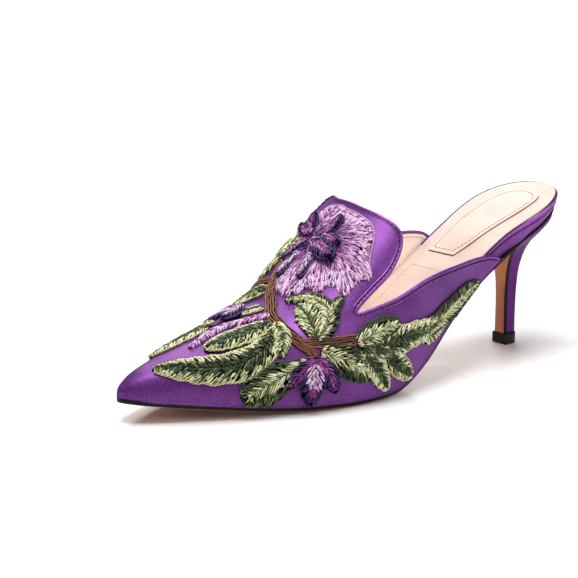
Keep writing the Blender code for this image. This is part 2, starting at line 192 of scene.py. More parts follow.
def half_width(s, side):
    """Half width at the sole: a conic round the toe, an ellipse round the seat."""
    name = "outer" if side > 0 else "inner"
    (near_s, near_w), (far_s, far_w) = [(row[0], row[LAST_COLUMNS.index(name)]) for row in LAST[1:3]]
    near = near_w ** 2 / near_s
    curve = (far_w ** 2 / far_s - near) / (far_s - near_s)
    toe = np.sqrt(np.clip((near - curve * near_s) * s + curve * s ** 2, 0, None))
    width = np.where(s < far_s, toe, last(name, s))
    along = np.clip((s - SEAT_MIDDLE) / (LENGTH - SEAT_MIDDLE), 0, 1)
    return width * np.sqrt(1 - along ** 2)


def feather(s):
    return last("sole", s) + last("edge", s)


def bed_height(s):
    return last("sole", s) + last("bed", s)


def foot(s, t):
    """Point on the outside of the upper, in millimetres."""
    angle = np.pi * t
    across = np.cos(angle)
    up = np.abs(np.sin(angle))
    ridge = last("ridge", s)
    reach = np.where(across >= 0, half_width(s, 1) - ridge, half_width(s, -1) + ridge)
    swell = last("bulge", s) * np.abs(np.sin(2 * angle))
    x = last("axis", s) + ridge
    x = x + np.sign(across) * (reach * np.abs(across) ** last("round", s) + swell)
    power = np.where(across >= 0, 0.95, last("inner_q", s))
    z = feather(s) + (last("top", s) - feather(s)) * up ** power
    return np.stack([x, s - MIDDLE, z], axis=-1)


def foot_normal(s, t):
    """Outward direction at right angles to the upper."""
    s = np.clip(s, 0.6, LENGTH - 0.6)
    t = np.clip(t, 0.004, 0.996)
    along = foot(s + 0.5, t) - foot(s - 0.5, t)
    around = foot(s, t + 0.003) - foot(s, t - 0.003)
    return unit(np.cross(along, around))


def outline_edge(s, side, inset):
    """Plan position of the sole's outline, moved inwards at right angles by the inset."""
    before = np.clip(s - 0.05, 0, LENGTH)
    after = np.clip(s + 0.05, 0, LENGTH)
    here, low, high = [last("axis", one) + side * half_width(one, side) for one in (s, before, after)]
    slope = (high - low) / (after - before)
    size = np.sqrt(1 + slope ** 2)
    return here - side * inset / size, s + side * inset * slope / size


def inner_edges(s, column):
    """Left and right plan edges at the stations of a piece that lies inside the outline."""
    fine = shared_rows(0.0, LENGTH, 900, 1.5, 1.5)
    edges = []
    for side in (-1, 1):
        x, moved = outline_edge(fine, side, inset_at(fine, column))
        order = np.argsort(moved)
        edges.append(np.interp(s, moved[order], x[order]))
    return edges


def topline_points(count):
    """Points along the topline, evenly spread by length in the s and t plane."""
    rows = np.array(TOPLINE)
    scale = np.array([1.0, 250.0])
    knots = running(np.linalg.norm(np.diff(rows * scale, axis=0), axis=1) ** 0.5)
    fine = np.linspace(0, knots[-1], 4000)
    s = smooth(knots, rows[:, 0], fine)
    t = np.clip(smooth(knots, rows[:, 1], fine), 0, 1)
    length = running(np.hypot(np.diff(s), np.diff(t) * scale[1]))
    even = np.linspace(0, length[-1], count)
    return np.interp(even, length, s), np.interp(even, length, t)


# ---------------------------------------------------------------- making pieces

def linear(colour):
    """Screen colour from 0 to 255, as the light values the shader takes."""
    c = np.array(colour, dtype=float) / 255.0
    return np.where(c <= 0.04045, c / 12.92, ((c + 0.055) / 1.055) ** 2.4)


def add_piece(name, mesh, materials, node=None):
    obj = bpy.data.objects.new(name, mesh)
    bpy.context.scene.collection.objects.link(obj)
    for material in materials:
        mesh.materials.append(material)
    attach(obj, "root")
    if node:
        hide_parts(node)


def mesh_of(name, points, faces, angle=None, marks=None):
    """Mesh from points in millimetres, smooth shaded, with material numbers in marks."""
    mesh = bpy.data.meshes.new(name)
    mesh.from_pydata((points * MM).tolist(), [], [list(map(int, f)) for f in faces])
    if marks is not None:
        mesh.polygons.foreach_set("material_index", marks)
    bm = bmesh.new()
    bm.from_mesh(mesh)
    bmesh.ops.delete(bm, geom=[v for v in bm.verts if not v.link_faces], context="VERTS")
    bmesh.ops.remove_doubles(bm, verts=bm.verts, dist=1e-6)
    bmesh.ops.recalc_face_normals(bm, faces=bm.faces)
    bm.to_mesh(mesh)
    bm.free()
    mesh.shade_smooth()
    if angle:
        mesh.set_sharp_from_angle(angle=np.radians(angle))
    return mesh


def ring_faces(rings, count):
    """Quads between rings of count points, with a flat cap at each end."""
    faces = []
    for low in range(0, (rings - 1) * count, count):
        for k in range(count):
            n = (k + 1) % count
            faces.append((low + k, low + n, low + count + n, low + count + k))
    end = (rings - 1) * count
    return faces + [tuple(range(count - 1, -1, -1)), tuple(range(end, end + count))]


def loft(name, rings, materials, node=None, angle=40, columns=None):
    """Solid through equal rings; columns gives each strip of faces its material number."""
    rings = np.array(rings)
    marks = None
    if columns is not None:
        marks = columns * (len(rings) - 1) + [1, 1]
    mesh = mesh_of(name, rings.reshape(-1, 3), ring_faces(*rings.shape[:2]), angle, marks)
    add_piece(name, mesh, materials, node)


def tube(path, radius, sides, normals, flat=1.0):
    """Rings of points round one path or many; radius is one number or one for each point."""
    tangent = unit(np.gradient(path, axis=-2))
    across = unit(np.cross(normals, tangent))
    upward = np.cross(tangent, across)
    angle = np.linspace(0, 2 * np.pi, sides, endpoint=False)[:, None] - np.pi / 2
    ring = np.cos(angle) * across[..., None, :] + flat * np.sin(angle) * upward[..., None, :]
    return path[..., None, :] + np.asarray(radius)[..., None, None] * ring


def swept(name, path, normals, radius, sides, look, flat=1.0):
    """Solid tube along a path; flat stretches it along the normals."""
    loft(name, tube(path, radius, sides, normals, flat), [look], angle=None)


# ---------------------------------------------------------------- materials

class Look:
    """A principled material that is built node by node."""

    def __init__(self, name, body, roughness, **sockets):
        self.material = bpy.data.materials.new(name)
        self.material.use_nodes = True
        self.tree = self.material.node_tree
        self.shader = self.tree.nodes["Principled BSDF"]
        self.place = self.node("TexCoord", "Object")
        self.set(Base_Color=body, Roughness=roughness, **sockets)

    def feed(self, socket, value):
        """Give a socket a number, a vector, a colour from 0 to 255 or another node's output."""
        if isinstance(value, bpy.types.NodeSocket):
            self.tree.links.new(value, socket)
        elif socket.type == "RGBA":
            socket.default_value = (*linear(value), 1.0)
        else:
            socket.default_value = value

    def set(self, **sockets):
        for name, value in sockets.items():
            self.feed(self.shader.inputs[name.replace("_", " ")], value)

    def node(self, kind, output, inputs=None, **settings):
        """One output of a new node, whose inputs go by name or number."""
        made = self.tree.nodes.new("ShaderNode" + kind)
        for name, value in settings.items():
            setattr(made, name, value)
        for socket, value in (inputs or {}).items():
            self.feed(made.inputs[socket], value)
        return made.outputs[output]

    def noise(self, scale, detail=3.0, vector=None):
        """Noise with scale in cells per millimetre."""
        inputs = {"Scale": scale / MM, "Detail": detail, "Vector": vector or self.place}
        return self.node("TexNoise", "Fac", inputs)

    def wave(self, scale, axis="X", vector=None):
        """Straight waves across an axis, with scale in waves per millimetre."""
        inputs = {"Scale": scale / MM * 2 * np.pi / 20.0, "Vector": vector or self.place}
        return self.node("TexWave", "Fac", inputs, wave_type="BANDS", bands_direction=axis)

    def ramp(self, value, *stops):
        """Colours between stops of (place, colour from 0 to 255)."""
        output = self.node("ValToRGB", "Color", {"Fac": value})
        elements = output.node.color_ramp.elements
        while len(elements) < len(stops):
            elements.new(0.5)
        for element, (where, colour) in zip(elements, stops):
            element.position = where
            element.color = (*linear(colour), 1.0)
        return output

    def span(self, value, low, high, start=0.0, end=1.0):
        inputs = {"Value": value, "From Min": start, "From Max": end, "To Min": low, "To Max": high}
        return self.node("MapRange", "Result", inputs)

    def mix(self, kind, factor, a, b):
        return self.node("Mix", 2, {0: factor, 6: a, 7: b}, data_type="RGBA", blend_type=kind)

    def bump(self, height, distance, strength=1.0, under=None):
        inputs = {"Height": height, "Distance": distance * MM, "Strength": strength}
        if under:
            inputs["Normal"] = under
        normal = self.node("Bump", "Normal", inputs)
        self.set(Normal=normal)
        return normal


def satin_look(name, deep, body, shine, turn=(0.5, 0.4, 0.9), gloss=0.5, rough=0.43,
               tint=(246, 205, 252), weave=0.22, metal=0.45):
    """Duchesse satin: fine twill, soft coloured sheen, slight unevenness of the dye, and painted shade: the
    colour darkens where the surface turns away from the view.
    """
    look = Look(name, body, rough, Metallic=metal, Specular_IOR_Level=gloss, Specular_Tint=tint,
                Anisotropic=0.4, Sheen_Weight=0.04, Sheen_Roughness=0.35, Sheen_Tint=(205, 130, 240))
    squeezed = look.node("Mapping", "Vector", {"Vector": look.place, "Scale": (1.0, 0.5, 1.0)})
    turned = look.node("Mapping", "Vector", {"Vector": look.place, "Rotation": turn})
    fleck = look.noise(1.3, 2.0, squeezed)
    half_cloud = look.node("Math", "Value", {0: look.noise(0.05, 4.0), 1: 0.5}, operation="MULTIPLY")
    half_fleck = look.node("Math", "Value", {0: fleck, 1: 0.5}, operation="MULTIPLY")
    tone = look.node("Math", "Value", {0: half_cloud, 1: half_fleck}, operation="ADD")
    base = look.ramp(tone, (0.33, deep), (0.5, body), (0.67, shine))
    # Painted shade: the base colour is mixed toward the deep colour where the surface turns away from the
    # view, standing in for the satin's sheen falloff.
    facing = look.node("LayerWeight", "Facing", {"Blend": 0.35})
    look.set(Base_Color=look.mix("MIX", look.span(facing, 0.0, 0.55, 0.15, 0.95), base, deep),
             Roughness=look.span(fleck, rough - 0.3 * weave, rough + 0.3 * weave, 0.3, 0.7))
    grain = look.bump(look.wave(2.2, vector=turned), 0.05, weave)
    look.bump(look.noise(0.09, 2.0), 0.55, 1.36 * weave, grain)
    return look.material


def leather_look(name, deep, body, light, roughness, **sockets):
    """Fine-grained leather: pores, soft clouds of colour and a slight shine."""
    look = Look(name, body, roughness, **sockets)
    cloud = look.noise(0.06, 5.0)
    pores = look.node("TexVoronoi", "Distance", {"Scale": 0.9 / MM, "Vector": look.place},
                      feature="SMOOTH_F1")
    look.set(Base_Color=look.ramp(cloud, (0.32, deep), (0.52, body), (0.72, light)),
             Roughness=look.span(cloud, roughness - 0.07, roughness + 0.07, 0.3, 0.7))
    fine = look.bump(pores, 0.09, 0.55)
    look.bump(look.noise(0.35, 3.0), 0.126, 0.35, fine)
    return look.material


def paint_look(name, body, light):
    """Painted edge: smooth, a little uneven, lighter where it is rubbed."""
    look = Look(name, body, 0.5, Specular_IOR_Level=0.18)
    rub = look.noise(0.5, 4.0)
    look.set(Base_Color=look.ramp(rub, (0.45, body), (0.80, light)),
             Roughness=look.span(rub, 0.42, 0.62, 0.3, 0.7))
    look.bump(look.noise(1.1, 2.0), 0.06, 0.5)
    return look.material


def rubber_look(name, body, light):
    """Matte rubber with fine speckles and grooves."""
    look = Look(name, body, 0.62, Specular_IOR_Level=0.35)
    look.set(Base_Color=look.ramp(look.noise(2.0, 3.0), (0.4, body), (0.75, light)))
    look.bump(look.wave(0.9, "Z"), 0.07, 0.4)
    return look.material


def thread_look(name, roughness):
    """Embroidery thread: the tone of each stitch, with twisted strands and frayed shade."""
    look = Look(name, (150, 90, 180), roughness, Specular_IOR_Level=0.45)
    tone = look.node("Attribute", "Color", attribute_name="tone")
    lay = look.node("Attribute", "Vector", attribute_name="lay")
    fray = look.noise(0.9, 2.0)
    shade = look.ramp(fray, (0.30, (200, 200, 200)), (0.62, (255, 255, 255)))
    look.set(Base_Color=look.mix("MULTIPLY", 0.7, tone, shade),
             Roughness=look.span(fray, roughness - 0.08, roughness + 0.1, 0.3, 0.7))
    look.bump(look.wave(MM, vector=lay), 0.09, 0.6)
    return look.material


def padding_look(name):
    """Felt under the threads, in the tone of the leaf it fills, darkened where it is laid so that the gaps
    between threads show painted shade.
    """
    look = Look(name, (60, 60, 60), 0.9, Specular_IOR_Level=0.1)
    tone = look.node("Attribute", "Color", attribute_name="tone")
    fibre = look.noise(1.8, 4.0)
    shade = look.ramp(fibre, (0.30, (110, 110, 110)), (0.70, (230, 230, 230)))
    look.set(Base_Color=look.mix("MULTIPLY", 1.0, tone, shade))
    look.bump(fibre, 0.2, 0.7)
    return look.material


SATIN_LOOK = satin_look("purple_satin", (83, 37, 101), (105, 51, 127), (126, 66, 149))
RAND_LOOK = satin_look("rand_satin", (88, 40, 105), (110, 54, 130), (128, 67, 149), (0.2, 0.9, 0.3),
                       0.8, 0.34)
HEEL_LOOK = satin_look("heel_satin", (78, 34, 92), (96, 45, 112), (112, 56, 129), (0.9, 0.1, 0.6),
                       0.10, 0.46, (120, 50, 150))
# The bead is the upper's satin with a lighter copy of its colours: painted highlight along the narrow
# piping.
BEAD_HIGHLIGHT_LOOK = satin_look("bead_satin_painted_highlight", (128, 66, 150), (152, 86, 176), (168, 100, 192), (1.2, 0.7, 0.2),
                       1.0, 0.26, weave=0.012, metal=0.7)
# The rolled topline and its seam ridge use a lighter copy of the satin's colours: painted highlight along
# them.
ROLL_HIGHLIGHT_LOOK = satin_look("roll_satin_painted_highlight", (102, 49, 120), (127, 67, 149), (144, 84, 168), (1.2, 0.7, 0.2),
                       0.9, 0.28, weave=0.04, metal=0.6)
# The lining's faint glow is painted light, standing in for light bouncing about inside the shoe.
LINING_LOOK = leather_look("beige_lining", (240, 221, 206), (248, 233, 220), (252, 241, 230), 0.55,
                           Emission_Color=(250, 230, 214), Emission_Strength=0.2)
BED_LOOK = leather_look("pale_footbed", (193, 168, 154), (203, 180, 167), (211, 190, 178), 0.62)
PAD_LOOK = leather_look("heel_pad", (194, 169, 156), (204, 182, 170), (212, 192, 181), 0.6)
RAW_LOOK = leather_look("raw_edge", (92, 56, 34), (126, 80, 50), (150, 100, 66), 0.7)
TAN_LOOK = leather_look("tan_sole", (146, 80, 38), (172, 98, 50), (190, 114, 64), 0.5)
BREAST_LOOK = leather_look("breast_tan", (166, 98, 56), (192, 118, 70), (208, 134, 86), 0.5)
BLACK_LOOK = paint_look("black_edge", (4, 3, 4), (13, 11, 12))
RUBBER_LOOK = rubber_look("black_rubber", (14, 13, 14), (32, 30, 31))
FLOSS_LOOK = thread_look("embroidery_floss", 0.40)
CORD_LOOK = thread_look("branch_cord", 0.55)
PADDING_LOOK = padding_look("embroidery_padding")


# ---------------------------------------------------------------- upper

def skin_mesh(name, depth, thickness, rows=90, columns=104):
    """Shell of the upper, trimmed at the topline: depth under the outside, then a thickness."""
    row_s = shared_rows(0.0, WING_END, rows, 1.35)
    fractions = np.linspace(0, 1, columns + 1)

    def plane(s, t):
        return np.interp(s, row_s, np.arange(rows)), t * columns

    top_s, top_t = topline_points(420)
    keep = top_s <= WING_END - 0.6
    top_s = top_s[keep]
    top_t = top_t[keep]
    border = [(s, 0.0) for s in row_s]
    border.append((WING_END, np.interp(WING_END, *zip(TOPLINE[1], TOPLINE[0]))))
    border.extend(zip(top_s, top_t))
    border.append((WING_END, np.interp(WING_END, *zip(TOPLINE[-2], TOPLINE[-1]))))
    border.extend((s, 1.0) for s in row_s[::-1])
    border.extend((0.0, t) for t in fractions[-2:0:-1])
    points = list(border)
    flat_top = np.stack(plane(top_s, top_t), axis=1)
    for s in row_s[1:-1]:
        for t in fractions[1:-1]:
            if np.min(np.abs(flat_top - plane(s, t)).max(axis=1)) > 0.45:
                points.append((s, t))
    coords = [Vector([float(c) for c in plane(s, t)]) for s, t in points]
    result = delaunay_2d_cdt(coords, [], [list(range(len(border)))], 1, 1e-6)
    where_s, where_t = np.array([points[sources[0]] for sources in result[3]]).T
    outside = foot(where_s, where_t)
    normal = foot_normal(where_s, where_t)
    taper = np.clip(where_s / 6.0, 0.15, 1.0)[:, None]
    top = outside - normal * depth * taper
    under = outside - normal * (depth + thickness) * taper
    count = len(outside)
    faces = [tuple(f) for f in result[2]]
    edges = {}
    for face in faces:
        for a, b in zip(face, face[1:] + face[:1]):
            edges.setdefault((min(a, b), max(a, b)), []).append((a, b))
    rim = [pairs[0] for pairs in edges.values() if len(pairs) == 1]
    walls = [(b, a, a + count, b + count) for a, b in rim]
    faces = faces + [tuple(k + count for k in reversed(f)) for f in faces] + walls
    return mesh_of(name, np.concatenate([top, under]), faces, 50)


def topline_frame(count=520):
    """Points, normals and inward directions along the topline, down to the sole."""
    s, t = topline_points(count)
    keep = s <= WING_END - 0.3
    s = s[keep]
    t = t[keep]
    t = np.concatenate([np.linspace(0.004, t[0], 5)[:-1], t, np.linspace(t[-1], 0.996, 5)[1:]])
    s = np.concatenate([np.full(4, s[0]), s, np.full(4, s[-1])])
    place = foot(s, t)
    normal = foot_normal(s, t)
    inward = unit(np.cross(normal, np.gradient(place, axis=0)))
    middle = len(s) // 2
    if inward[middle] @ (foot(s[middle] - 1, t[middle]) - place[middle]) < 0:
        inward = -inward
    return place, normal, inward


def make_upper():
    add_piece("upper_satin", skin_mesh("upper_satin", 0.0, SATIN), [SATIN_LOOK], "upper")
    lining = skin_mesh("upper_lining", SATIN + 0.04, WALL - SATIN - 0.1, 80, 90)
    add_piece("upper_lining", lining, [LINING_LOOK])
    place, normal, inward = topline_frame()
    order = np.arange(len(place))
    ends = np.clip(np.minimum(order, order[::-1]) / 4.0, 0.5, 1.0)
    centre = place - normal * (0.5 * WALL) + inward * ROLL_INSET
    swept("topline_roll", centre, normal, ROLL * ends, 12, ROLL_HIGHLIGHT_LOOK, 1.06)
    seam = place + inward * SEAM_AT - normal * 0.12
    swept("topline_seam", seam, normal, SEAM_RADIUS * ends, 8, ROLL_HIGHLIGHT_LOOK)


# ---------------------------------------------------------------- sole, footbed and heel

ROUND = (0.0, 0.3, 0.65, 1.0)      # steps of a rounded edge, as parts of a quarter turn


def quarter(turns, x, y, z, reach, rise):
    """Quarter round from (x + reach, z) to (x, z + rise)."""
    angle = np.pi / 2 * np.array(turns)
    return [(x + reach * (1 - a), y, z + rise * (1 - b)) for a, b in zip(np.sin(angle), np.cos(angle))]


def make_outsole():
    rings = []
    for s in shared_rows(0.3, LENGTH - 1.36, 150, 1.5, 1.8):
        left, right = inner_edges(s, "sole")
        y = s - MIDDLE
        low = last("sole", s)
        high = feather(s) - GAP
        bevel = min(0.5, 0.3 * (high - low))
        middle = 0.5 * (left + right)
        half = 0.5 * (right - left) - bevel
        hang = CROWN * np.clip(s / 30.0, 0, 1) * np.clip((200.0 - s) / 60.0, 0, 1)
        ring = [(middle + u * half, y, max(0.0, low - hang * (1 - u ** 4))) for u in np.linspace(-1, 1, 21)]
        ring += quarter(ROUND[1:], right, y, low, -bevel, bevel)
        ring += [(right, y, high), (middle, y, high), (left, y, high)]
        ring += quarter(ROUND[:0:-1], left, y, low, bevel, bevel)
        rings.append(ring)
    columns = [0] * 22 + [1] * 6 + [0] * 2
    loft("outsole_leather", rings, [TAN_LOOK, BLACK_LOOK], "outsole", columns=columns)


def make_footbed():
    """Stiff board, with a wider leather sheet on top of it and behind it."""
    board_end = LENGTH - 4.0
    rows = shared_rows(5.0, LENGTH - 1.05, 150, 1.5, 2.0)
    rows = rows[np.abs(rows - board_end) > 0.3]
    rings = []
    for s in np.sort(np.append(rows, (board_end, board_end + 0.25))):
        left, right = inner_edges(min(s, board_end), "board")
        wide_left, wide_right = inner_edges(s, "sheet")
        y = s - MIDDLE
        high = bed_height(s)
        under = high - SHEET
        low = under - 0.05 if s > board_end else feather(s) + 0.1
        middle = 0.5 * (left + right)
        left = max(left, wide_left + 0.2)
        right = min(right, wide_right - 0.2)
        ring = [(left, y, low), (middle, y, low), (right, y, low), (right, y, under)]
        ring.append((max(wide_right - 0.1, right + 0.05), y, under))
        ring += quarter(ROUND[::-1], wide_right, y, high, -0.5, -0.45)
        for u in np.linspace(0, 1, 17)[1:-1]:
            x = wide_right - 0.5 - (wide_right - wide_left - 1.0) * u
            ring.append((x, y, high - DISH * u * (1 - u)))
        ring += quarter(ROUND, wide_left, y, high, 0.5, -0.45)
        ring += [(min(wide_left + 0.1, left - 0.05), y, under), (left, y, under)]
        rings.append(ring)
    columns = [1] * 5 + [0] * 22 + [1] * 3
    loft("footbed_sheet", rings, [BED_LOOK, RAW_LOOK], "insole", columns=columns)


def bed_point(s, x, lift=0.0):
    """Point on top of the footbed."""
    s, x = np.broadcast_arrays(s, x)
    left, right = inner_edges(s, "sheet")
    u = np.clip((x - left) / (right - left), 0, 1)
    return np.stack([x, s - MIDDLE, bed_height(s) - DISH * u * (1 - u) + lift], axis=-1)


def pad_edges(s):
    return [read(PAD, PAD_COLUMNS, side, s) for side in ("left", "right")]


def make_heel_pad():
    """Thin leather pad on the seat, with its raw cut edge."""
    rings = []
    for s in np.concatenate([np.linspace(PAD[0][0], 228.0, 70), np.linspace(228.5, PAD[-1][0], 26)]):
        xs = np.linspace(*pad_edges(s), 15)
        top = bed_point(s, xs, 0.75)
        top[[0, -1], 2] -= 0.06
        rings.append(np.concatenate([top, bed_point(s, xs[[-1, 7, 0]], -0.15)]))
    loft("heel_pad", rings, [PAD_LOOK, RAW_LOOK], None, 30, [0] * 14 + [1] * 4)


def make_rand():
    """Satin-wrapped edge round the seat, with a round bead along its top."""
    side_s = shared_rows(RAND_START, LENGTH, 90, back_power=2.2)
    rings = []
    for s, side in [(s, 1) for s in side_s] + [(s, -1) for s in side_s[-2::-1]]:
        inset = inset_at(s, "rand")
        x, moved = outline_edge(s, side, inset)
        x_in, moved_in = outline_edge(s, side, inset + 1.0)
        inward = unit(np.array([x_in - x, moved_in - moved]))
        if s >= LENGTH - 1e-6:
            x = 0.0
            moved = LENGTH - inset
            inward = np.array([0.0, -1.0])
        wall = bed_height(s) - SHEET - GAP - feather(s)
        lean = max(0.0, inset_at(s, "sole") + 0.3 - inset)
        plain = wall - 2.4
        profile = [(lean, 0.0), (0.8 * lean + 0.02, 0.15 * wall), (0.45 * lean + 0.02, 0.4 * plain),
                   (0.1, 0.75 * plain), (0.08, wall - 2.5), (0.5, wall - 2.15)]
        for angle in np.linspace(-0.42, 0.5, 9) * np.pi:
            profile.append((0.62 - 0.87 * np.cos(angle), wall - 1.0 + np.sin(angle)))
        profile += [(RAND_WALL, wall), (RAND_WALL, 0.0)]
        ring = []
        for depth, height in profile:
            there = moved + inward[1] * depth
            base = feather(there)
            roof = bed_height(there) - SHEET - GAP
            ring.append((x + inward[0] * depth, there - MIDDLE, base + height / wall * (roof - base)))
        rings.append(ring)
    loft("rand_satin", rings, [RAND_LOOK], "seat_rand", 45)


def round_seat(s, inset):
    """Plan line inside the outline, from the outer side round the back to the inner side."""
    outer_x, outer_s = outline_edge(s, 1, inset)
    inner_x, inner_s = outline_edge(s, -1, inset)
    x = np.concatenate([outer_x[:-1], [0.0], inner_x[-2::-1]])
    return x, np.concatenate([outer_s[:-1], [LENGTH - inset[-1]], inner_s[-2::-1]])


def make_bead():
    """Shiny satin piping on top of the rand, a little higher on the inner side, and a black line round the
    footbed's edge that is partly its painted edge and partly painted shade in the gap beside the bead.
    """
    s = shared_rows(RAND_START + 1.0, LENGTH, 90, back_power=2.2)
    x, moved = round_seat(s, inset_at(s, "rand") + 0.55)
    inner = np.clip(0.5 - x / 16.0, 0, 1)
    path = np.stack([x, moved - MIDDLE, bed_height(moved) - SHEET - 0.45 + 0.45 * inner], axis=1)
    # The bead's satin is lighter than the upper's: painted highlight.
    swept("rand_bead", path, UP, 1.0, 14, BEAD_HIGHLIGHT_LOOK)
    # Black line at the footbed's edge: partly its painted edge, partly painted shade in the dark gap
    # between the footbed and the bead.
    x, moved = round_seat(s, inset_at(s, "sheet") - 0.22)
    path = np.stack([x, moved - MIDDLE, bed_height(moved) - 0.66 + 0.50 * inner], axis=1)
    swept("footbed_edge_paint_and_shade", path, UP, 0.34, 8, BLACK_LOOK)


def make_edges():
    """Satin rolled under at the sole, and the painted black edge of the sole below it."""
    side_s = shared_rows(0.3, LENGTH - 0.3, 260, 1.6, 2.2)
    for name, inset, drop, radius, first, final, tucked, look, slot in (
            ("feather_roll", 0.25, 0.25, 0.55, 3.0, 194.0, 0, SATIN_LOOK, "upper_satin"),
            ("sole_edge", 0.40, 0.85, 0.62, 70.0, 240.0, 1, BLACK_LOOK, "sole_leather")):
        s = side_s[(side_s > first) & (side_s < final)]
        seat = tucked * np.clip((s - 196.0) / 12.0, 0, 1)
        moved_in = inset + tucked * 0.9 * np.clip((s - 200.0) / 18.0, 0, 1)
        ends = np.clip(np.minimum(s - first, final - s) / 8.0, 0.15, 1.0)
        for side, word in ((-1, "inner"), (1, "outer")):
            x, moved = outline_edge(s, side, moved_in)
            path = np.stack([x, moved - MIDDLE, feather(moved) - drop + 0.35 * seat], axis=1)
            swept(name + "_" + word, path, UP, (radius - 0.17 * seat) * ends, 10, look)


def seat_shape(count):
    """Plan shape of the heel, with x from -1 to 1 and y from 0 at its front to 1 at its back."""
    front = HEEL[-1][1]
    s = shared_rows(front, LENGTH, count, back_power=2.4)
    right = half_width(s, 1) / half_width(front, 1)
    left = half_width(s, -1) / half_width(front, -1)
    back = (s - front) / (LENGTH - front)
    return [*zip(right, back), *zip(-left[-2::-1], back[-2::-1])]


def heel_row(height):
    return [read(HEEL, HEEL_COLUMNS, name, height) for name in HEEL_COLUMNS[1:]]


def make_heel():
    shape = seat_shape(40)
    highest = HEEL[-1][0]
    rings = []
    for height in np.concatenate([np.linspace(HEEL[0][0], STEM_TOP, 22),
                                  np.linspace(STEM_TOP + 0.8, highest, 48)]):
        front, depth, half, rise = heel_row(height)
        ring = []
        for x, y in shape:
            s = front + depth * y
            z = last("sole", s) - GAP if height > highest - 0.01 else height + rise * y
            ring.append((half * x, s - MIDDLE, z))
        rings.append(ring)
    loft("heel_cover", rings, [HEEL_LOOK], "heel", 50)


def make_breast():
    rings = []
    for height in np.concatenate([np.linspace(HEEL[0][0], STEM_TOP, 16),
                                  np.linspace(STEM_TOP + 1.0, BREAST_TOP, 40)]):
        front, _, half, _ = heel_row(height)
        back = front - GAP
        face = back - BREAST_WALL
        right = [(half - 0.4, face), (half - 0.12, face + 0.12), (half, face + 0.35), (half, back)]
        plan = [(-x, s) for x, s in right[::-1]] + right
        rings.append([(x, s - MIDDLE, height) for x, s in plan])
    loft("breast_cover", rings, [BREAST_LOOK, BLACK_LOOK], "heel_breast",
         columns=[1, 1, 1, 0, 1, 1, 1, 1])


def make_lift():
    shape = seat_shape(28)
    rings = []
    for height, shrink in ((0.0, 0.3), (0.08, 0.12), (0.3, 0.0), (LIFT_HEIGHT - 0.3, 0.0),
                           (LIFT_HEIGHT - 0.08, 0.1), (LIFT_HEIGHT, 0.3)):
        front = LIFT_FRONT + shrink - MIDDLE
        depth = LIFT_DEPTH - 2 * shrink
        rings.append([((LIFT_HALF - shrink) * x, front + depth * y, height) for x, y in shape])
    loft("lift_rubber", rings, [RUBBER_LOOK], "top_lift")


# ---------------------------------------------------------------- embroidery

PALETTE = {
    "deep_green": (34, 46, 22),
    "green": (62, 80, 42),
    "moss": (128, 140, 84),
    "lime": (220, 222, 154),
    "cream": (255, 253, 214),
    "navy": (24, 8, 38),
    "outline": (72, 36, 118),
    "violet": (66, 28, 108),
    "purple": (106, 48, 136),
    "magenta": (172, 62, 152),
    "orchid": (206, 116, 190),
    "lilac": (202, 146, 202),
    "pale_lilac": (252, 214, 249),
    "pink": (255, 230, 252),
    "brown": (158, 92, 66),
    "umber": (30, 13, 7),
}

# Bands of thread across half a leaf, from the rib (0) to the edge (1): two thread colours,
# the colour of the odd fleck among them, and where the band starts and ends.
BANDS = {
    "pale_rim": (("green", "deep_green", "moss", 0, 0.6), ("lime", "cream", "moss", 0.5, 1.04)),
    "dark_rim": (("lime", "cream", "moss", 0, 0.5), ("deep_green", "green", "moss", 0.44, 1.04)),
    "pale": (("moss", "green", "lime", 0, 0.36), ("cream", "lime", "moss", 0.28, 1.05)),
    "mixed": (("moss", "lime", "green", 0, 0.55), ("green", "moss", "lime", 0.48, 1.05)),
    "violet": (("purple", "magenta", "orchid", 0, 0.55), ("violet", "navy", "purple", 0.44, 1.04)),
    "magenta": (("orchid", "lilac", "magenta", 0, 0.46), ("violet", "purple", "navy", 0.4, 0.92)),
    "pale_petal": (("pink", "pale_lilac", "lilac", 0, 0.58), ("violet", "lilac", "purple", 0.5, 0.9)),
    "pink": (("pink", "orchid", "pale_lilac", 0, 1.05),),
    "stem": (("lilac", "pink", "magenta", 0, 1.05),),
    "short": (("lime", "cream", "moss", 0, 0.62),),
}

# Leaf styles: bands on the left and right of the rib, cords along the edge, the colour of
# the padding, and how far the threads lean toward the tip, in radians.
STYLES = {
    "rimmed": ("pale_rim", "pale_rim", 1, "deep_green", 0.85),
    "dark": ("dark_rim", "dark_rim", 1, "deep_green", 0.95),
    "corded": ("short", "short", 3, "deep_green", 1),
    "pale": ("pale", "pale", 0, "moss", 0.8),
    "mixed": ("mixed", "pale", 0, "green", 0.9),
    "arch": ("pale", "dark_rim", 0, "deep_green", 0.75),
    "violet": ("violet", "violet", 0, "navy", 0.95),
    "petal": ("magenta", "magenta", 1, "navy", 1.05),
    "pale_petal": ("pale_petal", "pale_petal", 1, "violet", 1.05),
    "pink": ("pink", "pink", 0, "magenta", 0.9),
    "stem": ("stem", "stem", 0, "magenta", 0.7),
}

